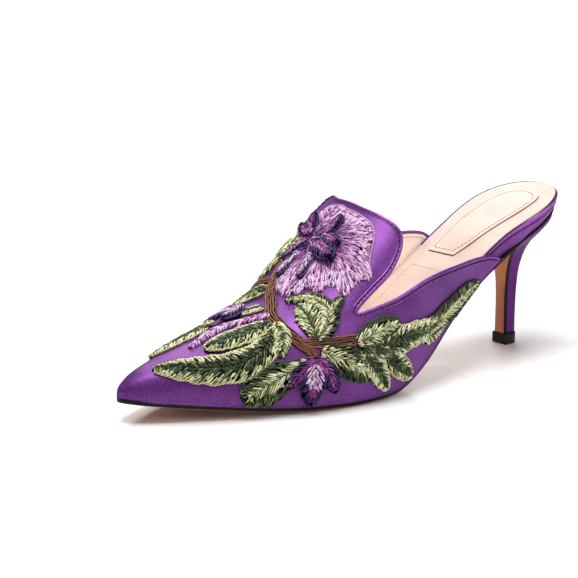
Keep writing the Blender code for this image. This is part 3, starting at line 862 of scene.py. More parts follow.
# Leaves and petals: group, style, left, right, blunt, sharp, rise, lift, curl, rib. left and
# right are the half widths on either side of the rib as it runs from base to tip; blunt and
# sharp shape the base and the tip; rise is the padding's height and lift the height of whatever
# lies under it; curl raises the tip; rib holds points as (s, t).
LEAVES = (
    ("outer", "rimmed", 7.2, 6.2, 0.42, 0.55, 1.3, 0, 0,
     ((65, 0.372), (56, 0.29), (44, 0.24), (31, 0.264), (22, 0.332), (13.6, 0.428))),
    ("outer", "pale", 3.6, 4.2, 0.5, 0.6, 1.2, 0.5, 0, ((68.5, 0.398), (66, 0.31), (61, 0.226))),
    ("outer", "rimmed", 6, 6, 0.5, 0.55, 1.5, 0.5, 0, ((67, 0.405), (51, 0.415), (36, 0.414))),
    ("outer", "dark", 8.4, 8, 1.1, 0.5, 1.4, 0, 0,
     ((74, 0.192), (66, 0.158), (55, 0.112), (43, 0.03))),
    ("outer", "dark", 7.2, 7.2, 0.55, 0.55, 1.4, 0, 0, ((78, 0.196), (88, 0.13), (101, 0.048))),
    ("outer", "rimmed", 4.6, 4.8, 0.55, 0.6, 1.3, 0.5, 0, ((96, 0.148), (102, 0.08), (109, 0.008))),
    ("outer", "rimmed", 5, 5.2, 0.55, 0.5, 1.3, 0.3, 0, ((103, 0.12), (113, 0.065), (125, 0.008))),
    ("outer", "mixed", 4.4, 5, 0.6, 0.8, 1.2, 0.1, 0, ((128, 0.08), (140, 0.046), (153, 0.022))),
    ("outer", "corded", 5.4, 5.4, 0.5, 0.5, 1.6, 0.5, 0, ((94, 0.166), (105, 0.158), (117.5, 0.142))),
    ("outer", "rimmed", 5.4, 6.2, 0.45, 0.7, 1.5, 0.3, 0,
     ((96, 0.146), (105, 0.114), (114, 0.106), (124, 0.092), (136, 0.068), (150, 0.042))),
    ("outer", "dark", 5.2, 6.2, 0.5, 0.6, 1.4, 0.2, 0,
     ((132, 0.076), (146, 0.048), (158, 0.03), (170, 0.018), (180, 0.004))),
    ("outer", "arch", 3.6, 4.4, 0.5, 0.7, 1.5, 0.2, 0,
     ((78.5, 0.246), (86, 0.278), (88.6, 0.322), (88, 0.368), (85.8, 0.415), (80.8, 0.465))),
    ("outer", "dark", 2.8, 2.8, 0.6, 0.8, 1.2, 0.4, 0, ((87, 0.3), (91.5, 0.316), (97, 0.318))),
    ("outer", "pale", 4.6, 6.4, 0.5, 0.5, 1.6, 0.1, 0, ((78.5, 0.256), (79.6, 0.33), (81.4, 0.414))),
    ("outer", "rimmed", 2.8, 2.8, 0.5, 0.6, 1.2, 0.1, 0, ((74.5, 0.494), (70, 0.502), (64, 0.515))),
    ("bloom", "violet", 4, 4.2, 0.6, 0.6, 1.5, 1, 0, ((75, 0.18), (69, 0.138), (61, 0.08))),
    ("bloom", "violet", 4.4, 4.4, 0.6, 0.6, 1.5, 0.6, 0, ((75.5, 0.176), (79.5, 0.112), (82.2, 0.034))),
    ("bloom", "violet", 5.4, 5.4, 0.55, 0.6, 1.7, 0.9, 0, ((74.5, 0.178), (72.6, 0.095), (70.4, 0.003))),
    ("bloom", "pink", 4, 4, 0.55, 0.6, 1.3, 1.8, 0, ((73.8, 0.16), (72.8, 0.11), (72, 0.056))),
    ("bloom", "stem", 2.9, 2.9, 0.25, 0.35, 1.1, 0, 0,
     ((71, 0.452), (64, 0.48), (57, 0.498), (49, 0.505), (38, 0.492), (33, 0.484))),
    ("bloom", "pale_petal", 3.6, 3.6, 0.55, 0.5, 2.6, 1, 1, ((70, 0.53), (64, 0.524), (56, 0.514))),
    ("bloom", "violet", 4.4, 4.4, 0.5, 0.7, 1.8, 0.3, 0, ((68, 0.56), (62, 0.62), (56, 0.688))),
    ("bloom", "violet", 3.2, 3.2, 0.5, 0.6, 1.8, 0.3, 0, ((69, 0.56), (69, 0.62), (67, 0.68))),
    ("bloom", "violet", 2.8, 2.8, 0.5, 0.8, 1.4, 0.2, 0, ((62, 0.53), (55, 0.53), (49, 0.526))),
    ("bloom", "pink", 2, 2, 0.5, 0.6, 1.2, 1.2, 0, ((66.5, 0.575), (63, 0.615), (60, 0.65))),
    ("inner", "rimmed", 5.6, 5.6, 0.5, 0.55, 1.4, 0, 0, ((84, 0.525), (79, 0.62), (72, 0.752))),
    ("inner", "rimmed", 7.4, 7, 0.5, 0.45, 1.4, 0, 0, ((64, 0.68), (70, 0.79), (78, 0.905))),
    ("inner", "dark", 6.4, 6.4, 0.55, 0.45, 1.4, 0, 0, ((54, 0.56), (52, 0.74), (48.5, 0.925))),
    ("inner", "rimmed", 5.8, 5.8, 0.5, 0.45, 1.3, 0, 0, ((51, 0.56), (37, 0.61), (22, 0.66))),
    ("inner", "pale", 4.2, 4.2, 0.55, 0.6, 1.3, 0, 0, ((99.5, 0.58), (107, 0.56), (115, 0.53))),
    ("inner", "pale", 5, 5, 0.5, 0.55, 1.4, 0.2, 0, ((99.5, 0.59), (106, 0.645), (112.5, 0.705))),
    ("inner", "pale", 4.4, 4.4, 0.5, 0.6, 1.3, 0.1, 0, ((100, 0.59), (97, 0.66), (94, 0.73))),
    ("inner", "dark", 6, 6, 0.45, 0.65, 1.4, 0, 0,
     ((91.5, 0.725), (101, 0.83), (113, 0.905), (128, 0.955))),
    ("inner", "rimmed", 4.4, 4, 0.5, 0.65, 1.3, 0, 0,
     ((98, 0.88), (110, 0.94), (126, 0.962), (148, 0.978))),
)

# The branch: its width in millimetres at the start and the end of routes of (s, t).
BRANCHES = (
    (5, 5.4, ((106, 0.52), (102, 0.54), (95.5, 0.546), (88.5, 0.526), (83, 0.507), (77, 0.488),
                (71.6, 0.45), (69.4, 0.39), (69.6, 0.322), (71.8, 0.262), (74.2, 0.212),
                (75, 0.178))),
    (4.4, 4.8, ((72.2, 0.262), (75.6, 0.248), (81.2, 0.219), (88.6, 0.194), (96, 0.17))),
    (4, 3.4, ((88.6, 0.535), (88.4, 0.61), (89.6, 0.7), (91.8, 0.8), (93, 0.86), (91, 0.9))),
)

# Outline of the large flower on the tongue, clockwise from its top: s, t, and 1 where the
# petal has a rim.
FLOWER_CENTRE = (108.5, 0.496)
FLOWER = (
    (124.6, 0.5, 1), (124.2, 0.478, 1), (123.6, 0.436, 1), (123, 0.396, 1), (121, 0.372, 1),
    (117, 0.352, 1), (112.5, 0.33, 1), (109.6, 0.298, 0), (104.5, 0.322, 0), (100.5, 0.318, 0),
    (97, 0.318, 0), (96.2, 0.366, 0), (94.5, 0.392, 0), (90.8, 0.396, 0), (90, 0.44, 0),
    (86, 0.456, 0), (83.6, 0.478, 0), (87.6, 0.51, 0), (93.5, 0.53, 0), (99.5, 0.524, 0),
    (107, 0.536, 0), (115, 0.54, 1), (121, 0.522, 1),
)

# Raised petals in the middle of the flower.
PETALS = (
    ("flower", "pale_petal", 3, 3, 0.5, 0.6, 1.8, 0.8, 1,
     ((103, 0.502), (97, 0.512), (90, 0.514))),
    ("flower", "pale_petal", 3, 3, 0.5, 0.6, 1.8, 0.8, 1,
     ((103.5, 0.488), (98, 0.482), (91.5, 0.472))),
    ("flower", "petal", 3.2, 3.2, 0.55, 0.55, 1.8, 1.1, 2,
     ((110.5, 0.5), (114, 0.512), (119, 0.52))),
    ("flower", "petal", 3.3, 3.3, 0.55, 0.55, 1.8, 1.1, 2,
     ((111, 0.488), (115, 0.478), (120, 0.468))),
    ("flower", "petal", 3.3, 3.3, 0.5, 0.5, 1.9, 1.3, 2.2,
     ((110.4, 0.486), (110.2, 0.464), (109.8, 0.434))),
    ("flower", "petal", 2.9, 2.9, 0.55, 0.6, 1.8, 1.2, 1.8,
     ((109.6, 0.506), (111.5, 0.53), (113.5, 0.558))),
    ("flower", "petal", 2.7, 2.7, 0.55, 0.6, 1.8, 1.2, 1.6,
     ((107.4, 0.5), (103.6, 0.516), (97, 0.528))),
    ("flower", "petal", 4.9, 4.9, 0.5, 0.5, 2.2, 1.7, 2.4,
     ((107.8, 0.496), (105.8, 0.464), (102.6, 0.422))),
)


class Cloth:
    """Dense cloud of points on the upper, with their outward directions."""

    def __init__(self):
        self.across = 261
        s = np.linspace(0.5, 194.5, 330)
        t = np.linspace(0.0, 1.0, self.across)
        ss, tt = np.meshgrid(s, t, indexing="ij")
        self.points = foot(ss, tt).reshape(-1, 3)
        self.normals = foot_normal(ss, tt).reshape(-1, 3)
        self.tree = kdtree.KDTree(len(self.points))
        for k, point in enumerate(self.points.tolist()):
            self.tree.insert(point, k)
        self.tree.balance()

    def settle(self, points):
        """Points moved onto the cloth, their outward directions, and whether they are on its border."""
        flat = points.reshape(-1, 3)
        index = np.array([self.tree.find(p)[1] for p in flat.tolist()])
        normal = self.normals[index]
        near = self.points[index]
        column = index % self.across
        border = (column < 1) | (column > self.across - 2)
        off = np.sum((flat - near) * normal, axis=1, keepdims=True)
        placed = np.where(border[:, None], near, flat - off * normal)
        return placed.reshape(points.shape), normal.reshape(points.shape), border.reshape(points.shape[:-1])


class Rib:
    """Smooth line on the upper through points of (s, t), measured in millimetres along it."""

    def __init__(self, route):
        rows = np.array(route, dtype=float)
        corners = foot(rows[:, 0], rows[:, 1])
        knots = running(np.linalg.norm(np.diff(corners, axis=0), axis=1) ** 0.8)
        fine = np.linspace(0, knots[-1], 500)
        s = smooth(knots, rows[:, 0], fine)
        t = smooth(knots, rows[:, 1], fine)
        self.place = foot(s, t)
        self.at = walked(self.place)
        self.length = self.at[-1]
        self.tangent = unit(np.gradient(self.place, axis=0))
        self.side = unit(np.cross(foot_normal(s, t), self.tangent))

    def point(self, u, v):
        """Point u along the rib and v to its left, not yet on the cloth."""
        beyond = u - np.clip(u, 0, self.length)
        place = between(u, self.at, self.place) + between(u, self.at, self.side) * v[..., None]
        return place + between(u, self.at, self.tangent) * beyond[..., None]


# Threads, cords and pads are collected as blocks of (rings of points, tone, lay), where lay is
# the place of a point on the twist. These are the five rings of a thread.
STITCH_AT = np.array([0.0, 0.14, 0.5, 0.86, 1.0])
STITCH_THICK = np.array([0.45, 0.95, 1.06, 0.95, 0.45])
STITCH_ARCH = np.array([-0.75, 0.35, 0.62, 0.35, -0.75])
STITCH_SIDES = 5
CORD_SIDES = 8
BRIGHTEST = 0.96


def add_threads(blocks, path, normals, heights, tones, radius=THREAD):
    """Short tubes: path is (n, 5, 3) on the cloth, heights (n, 5) above it, tones (n, 3)."""
    lifted = path + normals * (heights + STITCH_ARCH * radius * 1.6)[..., None]
    rings = tube(lifted, radius * STITCH_THICK, STITCH_SIDES, normals)
    span = np.linalg.norm(path[:, -1] - path[:, 0], axis=1)
    along = span[:, None, None] * STITCH_AT[:, None]
    lays = along / 0.9 + 2 * np.arange(STITCH_SIDES) / STITCH_SIDES
    blocks.extend(zip(rings, tones, lays))


def add_cord(blocks, path, normals, radius, tone, pitch):
    """Twisted cord along evenly spaced points; its radius swells and shrinks with the twist, and its colour
    is painted lighter on the crests and darker in the grooves, as painted highlight and shade.
    """
    along = walked(path)
    turns = 2 * np.arange(CORD_SIDES) / CORD_SIDES
    twist = np.cos(2 * np.pi * (turns + along[:, None] / pitch))[..., None]
    ends = np.clip(np.minimum(along, along[-1] - along) / 0.6, 0.3, 1.0)[:, None, None]
    middle = path[:, None, :]
    spokes = tube(path, 1.0, CORD_SIDES, normals) - middle
    # Painted highlight and shade: the tone brightens on the crests of the twist and darkens in its grooves.
    tones = np.minimum((0.66 + 0.60 * twist) * tone, BRIGHTEST)
    rings = middle + spokes * radius * ends * (0.80 + 0.26 * twist)
    blocks.append((rings, tones, along[:, None] / 0.8 + turns))


def lay_cord(blocks, path, normals, radius, tone, pitch):
    """Cord along a path of any spacing."""
    along = walked(path)
    even = np.arange(0, along[-1], CORD_STEP)
    add_cord(blocks, between(even, along, path), between(even, along, normals), radius, tone, pitch)


def strand_mesh(name, blocks, look, outward=False):
    """One piece from all the blocks of a list; outward turns its faces to the outside."""
    points = []
    faces = []
    tones = []
    lays = []
    total = 0
    for rings, tone, lay in blocks:
        points.append(rings.reshape(-1, 3))
        faces += [tuple(k + total for k in face) for face in ring_faces(*rings.shape[:2])]
        tones.append(np.broadcast_to(tone, rings.shape).reshape(-1, 3))
        lays.append(np.broadcast_to(lay, rings.shape[:2]).ravel())
        total += len(points[-1])
    mesh = bpy.data.meshes.new(name)
    mesh.from_pydata((np.concatenate(points) * MM).tolist(), [], faces)
    if outward:
        bm = bmesh.new()
        bm.from_mesh(mesh)
        bmesh.ops.recalc_face_normals(bm, faces=bm.faces)
        bm.to_mesh(mesh)
        bm.free()
    mesh.shade_smooth()
    colour = np.ones((total, 4), dtype=np.float32)
    colour[:, :3] = np.concatenate(tones)
    mesh.attributes.new("tone", "FLOAT_COLOR", "POINT").data.foreach_set("color", colour.ravel())
    vector = np.zeros((total, 3), dtype=np.float32)
    vector[:, 0] = np.concatenate(lays)
    mesh.attributes.new("lay", "FLOAT_VECTOR", "POINT").data.foreach_set("vector", vector.ravel())
    add_piece(name, mesh, [look])


def leaf_half(f, blunt, sharp):
    """Half width from the base (0) to the tip (1), about 1 at the widest place, with low teeth."""
    f = np.clip(f, 0, 1)
    peak = blunt / (blunt + sharp)
    teeth = 1 + 0.055 * np.sin(38 * f + 2.2 * np.sin(9 * f))
    return (f / peak) ** blunt * ((1 - f) / (1 - peak)) ** sharp * teeth


def level(f, lift, curl):
    """Height of the underside of a leaf, whose tip curls up."""
    return lift + curl * np.clip(f, 0, 1) ** 2


def dome(q, rise):
    """Height of the padding at a fraction q of the half width, with a sunk rib."""
    q = np.clip(np.abs(q), 0, 1)
    return rise * (np.sqrt(1 - 0.92 * q ** 2.6) - 0.20 * np.exp(-(q / 0.12) ** 2))


def mixed(first, second, share):
    a = linear(PALETTE[first])
    b = linear(PALETTE[second])
    return a + (b - a) * np.asarray(share)[:, None]


def stitch_rows(bands, width, slant):
    """Bands cut into overlapping rows of short stitches."""
    rows = []
    for first, second, fleck, low, high in bands:
        count = max(1, round((high - low) * width / np.cos(slant) / STITCH_LENGTH))
        edges = np.linspace(low, high, count + 1)
        for k in range(count):
            start = edges[k] - (0.06 if k else 0.0)
            rows.append((first, second, fleck, max(start, 0.0), edges[k + 1]))
    return rows


def make_leaf(row, threads, ropes, pads, rng):
    """Herringbone of threads over a padded leaf, in the bands of its style."""
    style = row[1]
    shape = row[2:-1]
    left, right, blunt, sharp, rise, lift, curl = shape
    left_bands, right_bands, cords, pad, slant = STYLES[style]
    rib = Rib(row[-1])
    pitch = 2 * THREAD * 1.10
    reach = np.linspace(0, 1, 60)
    dv = np.cos(slant)
    du = np.sin(slant)
    for side, width, bands in ((1, left, BANDS[left_bands]), (-1, right, BANDS[right_bands])):
        for first_tone, second_tone, fleck, low, high in stitch_rows(bands, width, slant):
            count = int((rib.length + width * 0.9 * du / dv) / (pitch / dv))
            start = np.linspace(-0.9 * width * du / dv, rib.length - 0.4, count)
            start = start + rng.uniform(-0.2, 0.2, count)
            lean = rng.normal(0, 0.06, count)
            step_v = np.cos(slant + lean)[:, None]
            step_u = np.sin(slant + lean)[:, None]
            ray = 1.6 * width / dv * reach
            u = start[:, None] + ray * step_u
            inside = ray * step_v < width * leaf_half(u / rib.length, blunt, sharp)
            inside = inside & (u > 0.2) & (u < rib.length)
            good = inside.sum(axis=1) > 3
            enter = ray[np.argmax(inside, axis=1)][good]
            leave = ray[len(reach) - 1 - np.argmax(inside[:, ::-1], axis=1)][good]
            begin = start[good]
            n = len(begin)
            ragged = rng.normal(0, 0.32, n) + 0.35 * np.sin(begin * 1.7 + rng.uniform(0, 6))
            near = (leave - enter) * np.clip(low + rng.normal(0, 0.09, n), 0, 1) * (low > 0)
            far = (leave - enter) * (high + rng.normal(0, 0.07, n) * (high < 1))
            far = far + np.where(high > 0.8, ragged * (0.3 if cords else 1.0), 0.0)
            long = far - near > 0.8
            r = (enter + near)[long, None] + (far - near)[long, None] * STITCH_AT
            u = begin[long, None] + r * step_u[good][long]
            v = r * step_v[good][long]
            place, normal, border = CLOTH.settle(rib.point(u, side * v))
            kept = border.sum(axis=1) < 3
            n = len(u)
            f = u / rib.length
            half = np.maximum(width * leaf_half(f, blunt, sharp), 0.2)
            height = level(f, lift, curl) + dome(v / half, rise) + (0.22 if low > 0 else 0.0)
            height = height + rng.uniform(-0.16, 0.16, n)[:, None]
            tones = mixed(first_tone, second_tone, np.clip(rng.normal(0.45, 0.35, n), 0, 1))
            odd = rng.uniform(0, 1, n) < 0.2
            tones = np.where(odd[:, None], linear(PALETTE[fleck]), tones)
            tones = np.minimum(tones * rng.uniform(0.68, 1.38, n)[:, None], BRIGHTEST)
            thick = THREAD * (0.8 if "petal" in style else 1.0)
            add_threads(threads, place[kept], normal[kept], height[kept], tones[kept], thick)
    # The padding takes the style's padding colour at 0.6: painted shade in the gaps between the threads.
    add_pad(rib, shape, linear(PALETTE[pad]) * 0.6, pads)
    for k in range(cords):
        add_edge_cord(rib, shape, 0.99 - 0.155 * k, ropes, style, rng)


def add_edge_cord(rib, shape, q, ropes, style, rng):
    """Cord that follows the edge of a leaf at a fraction q of its half width."""
    left, right, blunt, sharp, rise, lift, curl = shape
    f = 0.02 + 0.48 * (1 - np.cos(np.pi * np.linspace(0, 1, 240)))
    half = leaf_half(f, blunt, sharp) * q
    u = np.concatenate([f, f[::-1]]) * rib.length
    u = u - 0.5 * (1 - q) * (u - 0.5 * rib.length)
    v = np.concatenate([half * left, -half[::-1] * right])
    place, normal = CLOTH.settle(rib.point(u, v))[:2]
    height = level(u / rib.length, lift, curl) + dome(q, rise) + THREAD * 0.9
    tone = {"rimmed": "lime", "petal": "outline", "pale_petal": "outline"}.get(style, "green")
    size, bright = (0.62, 1.35) if style == "rimmed" else (0.46, 1.0)
    colour = linear(PALETTE[tone]) * rng.uniform(0.9, 1.1) * bright
    lay_cord(ropes, place + normal * height[:, None], normal, size, colour, 2.8 * size)


def add_pad(rib, shape, tone, pads):
    """Closed padding under the threads of a leaf."""
    left, right, blunt, sharp, rise, lift, curl = shape
    f = 0.5 - 0.5 * np.cos(np.pi * np.linspace(0.01, 0.99, 40))[:, None]
    q = np.sin(np.linspace(-1, 1, 13) * np.pi / 2) * 0.97
    v = leaf_half(f, blunt, sharp) * q * np.where(q > 0, left, right)
    u = np.broadcast_to(f * rib.length, v.shape)
    place, normal = CLOTH.settle(rib.point(u, v))[:2]
    raised = level(u / rib.length, lift, curl)
    height = raised + dome(q, rise) - 0.30
    height[:, [0, -1]] = raised[:, [0, -1]] * (curl > 0) - 0.2
    height[[0, -1], :] = -0.2
    top = place + normal * height[..., None]
    low = place + normal * (raised * (curl > 0) - 0.45)[..., None]
    pads.append((np.concatenate([top, low[:, -2:0:-1]], axis=1), tone, 0.0))


def flower_outline(a):
    """(s, t) and rim of the large flower's outline at fractions a round it."""
    rows = np.array(FLOWER, dtype=float)
    closed = np.concatenate([rows, rows[:1]])
    knots = walked(foot(closed[:, 0], closed[:, 1]))
    knots = knots / knots[-1]
    wide = np.concatenate([knots[-3:-1] - 1, knots, knots[1:3] + 1])
    ring = np.concatenate([rows[-2:], rows, rows[:3]])
    return [smooth(wide, ring[:, column], np.mod(a, 1.0)) for column in range(3)]


def flower_point(a, r):
    """Point of the flower at a fraction r of the way from its centre to the outline."""
    s, t = flower_outline(a)[:2]
    s0, t0 = FLOWER_CENTRE
    return s0 + (s - s0) * r, t0 + (t - t0) * r


def round_flower(r, spacing, rng):
    """Fractions round the flower, evenly spaced in millimetres at a fraction r of the way out."""
    fine = np.linspace(0, 1, 1500)
    along = walked(foot(*flower_point(fine, r)))
    count = int(along[-1] / spacing)
    even = (np.arange(count) + rng.uniform(0, 1)) * along[-1] / count
    return np.interp(even + rng.normal(0, 0.18, count), along, fine)


def lay_in_flower(threads, a, low, high, tones, rng):
    """Radial threads of the flower from low to high of the way out, bulging with its pad."""
    n = len(a)
    q = low[:, None] + (high - low)[:, None] * STITCH_AT
    bend = a[:, None] + rng.normal(0, 0.004, n)[:, None] * STITCH_AT
    ss, tt = flower_point(bend, q)
    height = 1.5 * np.sqrt(np.clip(1 - 0.9 * q ** 3, 0, 1)) + rng.uniform(-0.18, 0.18, n)[:, None]
    add_threads(threads, foot(ss, tt), foot_normal(ss, tt), height, tones)


def make_flower(threads, ropes, pads, rng):
    """Long-and-short stitches that radiate from the flower's centre, over a low pad."""
    for r in np.arange(0.05, 1.0, 0.080):
        a = round_flower(r + 0.05, 2 * THREAD * 1.04, rng)
        count = len(a)
        low = r + rng.uniform(-0.05, 0.05, count)
        high = low + rng.uniform(0.09, 0.165, count)
        limit = 1.0 + rng.uniform(-0.02, 0.055, count)
        high = np.minimum(high, np.where(flower_outline(a)[2] > 0.5, 0.885, limit))
        kept = high - low > 0.05
        a = a[kept]
        low = low[kept]
        high = high[kept]
        n = len(a)
        share = np.clip((0.5 * (low + high) - 0.14) / 0.62, 0, 1) + rng.normal(0, 0.17, n)
        tones = mixed("violet", "lilac", np.clip(share * 1.7, 0, 1))
        pale = mixed("lilac", "pale_lilac", np.clip((share - 0.5) * 1.8, 0, 1))
        tones = np.where((share > 0.55)[:, None], pale, tones)
        fleck = rng.uniform(0, 1, n)
        tones = np.where((fleck < 0.14)[:, None], linear(PALETTE["magenta"]), tones)
        tones = np.where((fleck > 0.93)[:, None], linear(PALETTE["purple"]), tones)
        lay_in_flower(threads, a, low, high, tones * rng.uniform(0.72, 1.12, n)[:, None], rng)
    a = round_flower(0.93, 2 * THREAD * 1.02, rng)
    a = a[flower_outline(a)[2] > 0.5]
    n = len(a)
    low = rng.uniform(0.85, 0.90, n)
    high = rng.uniform(0.965, 0.985, n)
    patches = np.clip(0.45 + 0.6 * np.sin(a * 220) + rng.normal(0, 0.25, n), 0, 1)
    tones = mixed("pale_lilac", "magenta", patches) * rng.uniform(0.75, 1.2, n)[:, None]
    lay_in_flower(threads, a, low, high, tones, rng)
    s, t = flower_outline(np.linspace(-0.13, 0.40, 460))[:2]
    place = foot(s, t)
    normal = foot_normal(s, t)
    inward = unit(np.cross(normal, np.gradient(place, axis=0)))
    path = place - inward * 0.12 + normal * 0.57
    lay_cord(ropes, path, normal, 0.50, mixed("lilac", "pale_lilac", [0.45])[0], 1.25)
    rings = []
    turns = np.linspace(0, 1, 120, endpoint=False)
    for q, height in ((0.04, -0.5), (0.3, -0.5), (0.6, -0.5), (0.985, -0.5), (0.985, -0.2), (0.95, 0.15),
                      (0.85, 0.45), (0.73, 0.65), (0.6, 0.8), (0.45, 0.88), (0.3, 0.95), (0.15, 0.98),
                      (0.04, 1.0)):
        ss, tt = flower_point(turns, q)
        rings.append(foot(ss, tt) + foot_normal(ss, tt) * height)
    # The flower's pad is violet at 0.8: painted shade between its threads.
    pads.append((np.array(rings), linear(PALETTE["violet"]) * 0.8, 0.0))


def make_branch(row, ropes, pads, rng):
    """Twisted cords side by side over a dark padded strip."""
    wide_start, wide_end, route = row
    rib = Rib(route)
    u = np.arange(0, rib.length, 0.36)
    width = np.interp(u, [0, 0.25 * rib.length, 0.85 * rib.length, rib.length],
                      [wide_start * 0.7, wide_start, wide_end, wide_end * 0.6])
    for lane in (-0.44, -0.22, 0.0, 0.22, 0.44):
        sway = 0.12 * np.sin(u * 0.7 + 9 * lane)
        place, normal = CLOTH.settle(rib.point(u, width * lane + sway))[:2]
        height = 0.72 + 0.30 * (1 - abs(lane) / 0.44) + 0.10 * np.sin(u * 1.9 + 30 * lane)
        size = 0.56 if abs(lane) > 0.3 else 0.46
        tone = linear(PALETTE["brown"]) * rng.uniform(0.35, 1.25)
        add_cord(ropes, place + normal * height[:, None], normal, size, tone, 1.7)
    heights = np.array([-0.2, 0.4, 0.6, 0.65, 0.6, 0.4, -0.2])[:, None]
    rings = []
    for k in range(0, len(u), 3):
        across = np.linspace(-0.5, 0.5, 7) * width[k]
        place, normal = CLOTH.settle(rib.point(np.full(7, u[k]), across))[:2]
        low = place - normal * 0.45
        rings.append(np.concatenate([place + normal * heights, low[-2:0:-1]]))
    pads.append((np.array(rings), linear(PALETTE["umber"]), 0.0))


def sew(threads, path, normals, length, gap, radius, colour, height, rng):
    """Straight stitches laid end to end along a path."""
    along = walked(path)
    n = max(1, int(along[-1] / (length + gap)))
    start = (np.arange(n) + 0.5) * along[-1] / n - 0.5 * length
    at = start[:, None] + length * STITCH_AT
    tones = linear(colour) * rng.uniform(0.85, 1.1, n)[:, None]
    add_threads(threads, between(at, along, path), between(at, along, normals), height, tones, radius)


def make_seams():
    """Stitch rows of the topline, the lining, the footbed and the heel pad."""
    rng = np.random.default_rng(11)
    place, normal, inward = topline_frame(900)
    topline = []
    # Dark stitches laid nearly end to end: the seam's own thread, and painted shade of the groove the seam
    # sinks into.
    path = place + inward * 1.5 - normal * 0.02
    sew(topline, path, normal, 2.0, 0.3, 0.27, (30, 12, 42), 0.10, rng)
    strand_mesh("topline_stitches_and_groove_shade", topline, FLOSS_LOOK)
    inside = []
    path = place + inward * 2.7 - normal * (WALL + 0.02)
    sew(inside, path, -normal, 1.25, 0.65, 0.17, (168, 130, 104), 0.05, rng)
    # The inner row of the heel pad and the forefoot rows get a paler thread colour than the other rows:
    # painted light, as if washed out by the bright light on the footbed.
    near = (158, 136, 118)
    far = (206, 188, 172)
    pad_s = np.linspace(PAD[0][0] + 2.0, PAD[-1][0] - 2.0, 60)
    left, right = pad_edges(np.linspace(PAD[0][0], PAD[-1][0], 60))
    middle = 0.5 * (left + right)
    left = np.stack([pad_s, np.minimum(left + 2.0, middle)], axis=1)
    right = np.stack([pad_s, np.maximum(right - 2.0, middle)], axis=1)
    routes = [(left, 0.81, far), (right, 0.81, near), (np.array([left[0], right[0]]), 0.81, near)]
    side_s = np.linspace(60.0, 173.0, 60)
    ends = []
    for edge, inset in zip(inner_edges(side_s, "sheet"), (5.5, -5.5)):
        route = np.stack([side_s, edge + inset], axis=1)
        routes.append((route, 0.05, far))
        ends.append(route[-1])
    routes.append((np.array(ends), 0.05, far))
    fine = np.linspace(0, 1, 400)
    for route, lift, colour in routes:
        knots = np.linspace(0, 1, len(route))
        path = bed_point(np.interp(fine, knots, route[:, 0]), np.interp(fine, knots, route[:, 1]), lift)
        sew(inside, path, np.tile(UP, (400, 1)), 1.25, 0.75, 0.15, colour, 0.0, rng)
    strand_mesh("leather_stitches", inside, FLOSS_LOOK)


def make_embroidery():
    """All the embroidery, one group of threads and cords at a time."""
    groups = {}
    pads = []
    for number, row in enumerate(LEAVES + PETALS):
        threads, ropes = groups.setdefault(row[0], ([], []))
        make_leaf(row, threads, ropes, pads, np.random.default_rng(100 + number))
    field = []
    make_flower(field, groups["flower"][1], pads, np.random.default_rng(7))
    strand_mesh("flower_field", field, FLOSS_LOOK)
    for group, (threads, ropes) in groups.items():
        strand_mesh(group + "_threads", threads, FLOSS_LOOK)
        if ropes:
            strand_mesh(group + "_cords", ropes, FLOSS_LOOK)
    branch = []
    for number, row in enumerate(BRANCHES):
        make_branch(row, branch, pads, np.random.default_rng(50 + number))
    strand_mesh("branch_cords", branch, CORD_LOOK)
    strand_mesh("embroidery_pads", pads, PADDING_LOOK, outward=True)


CLOTH = Cloth()


# ---------------------------------------------------------------- stage

def make_camera():
    """Same angle, distance and lens as the picture of the real shoe."""
    azimuth = np.radians(52.12)
    elevation = np.radians(12.61)
    back = Vector((np.sin(azimuth) * np.cos(elevation), -np.cos(azimuth) * np.cos(elevation),
                   np.sin(elevation)))
    data = bpy.data.cameras.new("camera")
    data.sensor_width = 36.0
    data.lens = 93.24
    camera = bpy.data.objects.new("camera", data)
    camera.location = Vector((0.0, -0.0379, 0.0463)) + back * 0.6626
    camera.rotation_mode = "QUATERNION"
    camera.rotation_quaternion = (-back).to_track_quat("-Z", "Y")
    bpy.context.scene.collection.objects.link(camera)
    bpy.context.scene.camera = camera


def make_light(name, place, size, power):
    """Softbox that faces the shoe."""
    data = bpy.data.lights.new(name, "AREA")
    data.shape = "RECTANGLE"
    data.size = size[0]
    data.size_y = size[1]
    data.energy = power
    light = bpy.data.objects.new(name, data)
    light.location = place
    light.rotation_mode = "QUATERNION"
    light.rotation_quaternion = (Vector((0.0, 0.0, 0.03)) - Vector(place)).to_track_quat("-Z", "Y")
    bpy.context.scene.collection.objects.link(light)


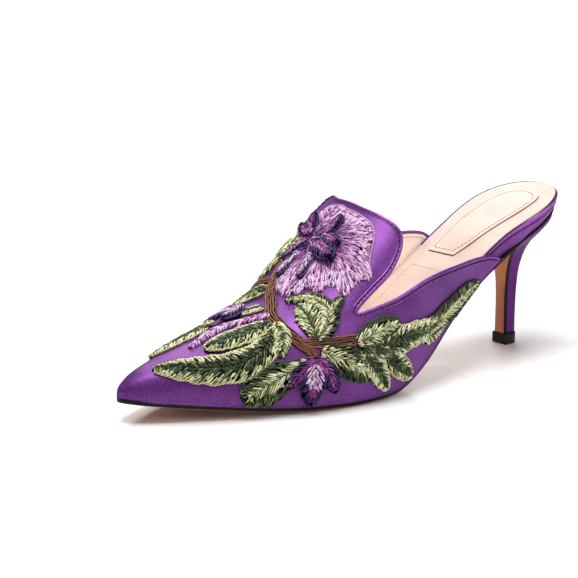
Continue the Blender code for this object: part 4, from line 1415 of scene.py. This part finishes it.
def make_floor():
    """White floor that glows more with the distance, like a seamless backdrop."""
    bm = bmesh.new()
    bmesh.ops.create_grid(bm, x_segments=2, y_segments=2, size=30.0)
    mesh = bpy.data.meshes.new("floor")
    bm.to_mesh(mesh)
    bm.free()
    floor = bpy.data.objects.new("floor", mesh)
    bpy.context.scene.collection.objects.link(floor)
    look = Look("white_floor", (244, 243, 243), 0.28, Specular_IOR_Level=0.5,
                Emission_Color=(255, 255, 255))
    away = look.node("VectorMath", "Value", {0: look.place}, operation="LENGTH")
    inputs = {"Value": away, "From Min": 0.25, "From Max": 1.1, "To Min": 0.02, "To Max": 1.4}
    glow = look.node("MapRange", "Result", inputs, interpolation_type="SMOOTHSTEP")
    look.set(Roughness=look.span(look.noise(0.01, 2.0), 0.22, 0.34), Emission_Strength=glow)
    mesh.materials.append(look.material)


def make_world():
    """Grey sky, darker above the horizon."""
    world = bpy.data.worlds.new("studio")
    world.use_nodes = True
    tree = world.node_tree
    sky = tree.nodes["Background"]
    place = tree.nodes.new("ShaderNodeTexCoord")
    split = tree.nodes.new("ShaderNodeSeparateXYZ")
    ramp = tree.nodes.new("ShaderNodeValToRGB")
    for element, where, grey in zip(ramp.color_ramp.elements, (0.06, 0.22), (0.25, 0.10)):
        element.position = where
        element.color = (grey, grey, grey, 1.0)
    tree.links.new(place.outputs["Generated"], split.inputs[0])
    tree.links.new(split.outputs["Z"], ramp.inputs["Fac"])
    tree.links.new(ramp.outputs["Color"], sky.inputs["Color"])
    sky.inputs["Strength"].default_value = 1.02
    bpy.context.scene.world = world
    bpy.context.scene.view_settings.view_transform = "Standard"


make_upper()
make_outsole()
make_footbed()
make_heel_pad()
make_rand()
make_bead()
make_edges()
make_heel()
make_breast()
make_lift()
make_embroidery()
make_seams()
make_camera()
make_floor()
make_world()
make_light("overhead_softbox", (-0.06, -0.06, 1.0), (0.7, 0.6), 13.0)
make_light("camera_fill", (0.95, -0.15, 0.85), (0.5, 0.5), 2.4)
make_light("back_left_softbox", (-0.9, 0.55, 0.75), (0.7, 0.7), 8.0)
make_light("back_right_softbox", (0.75, 0.65, 0.75), (0.7, 0.7), 3.0)
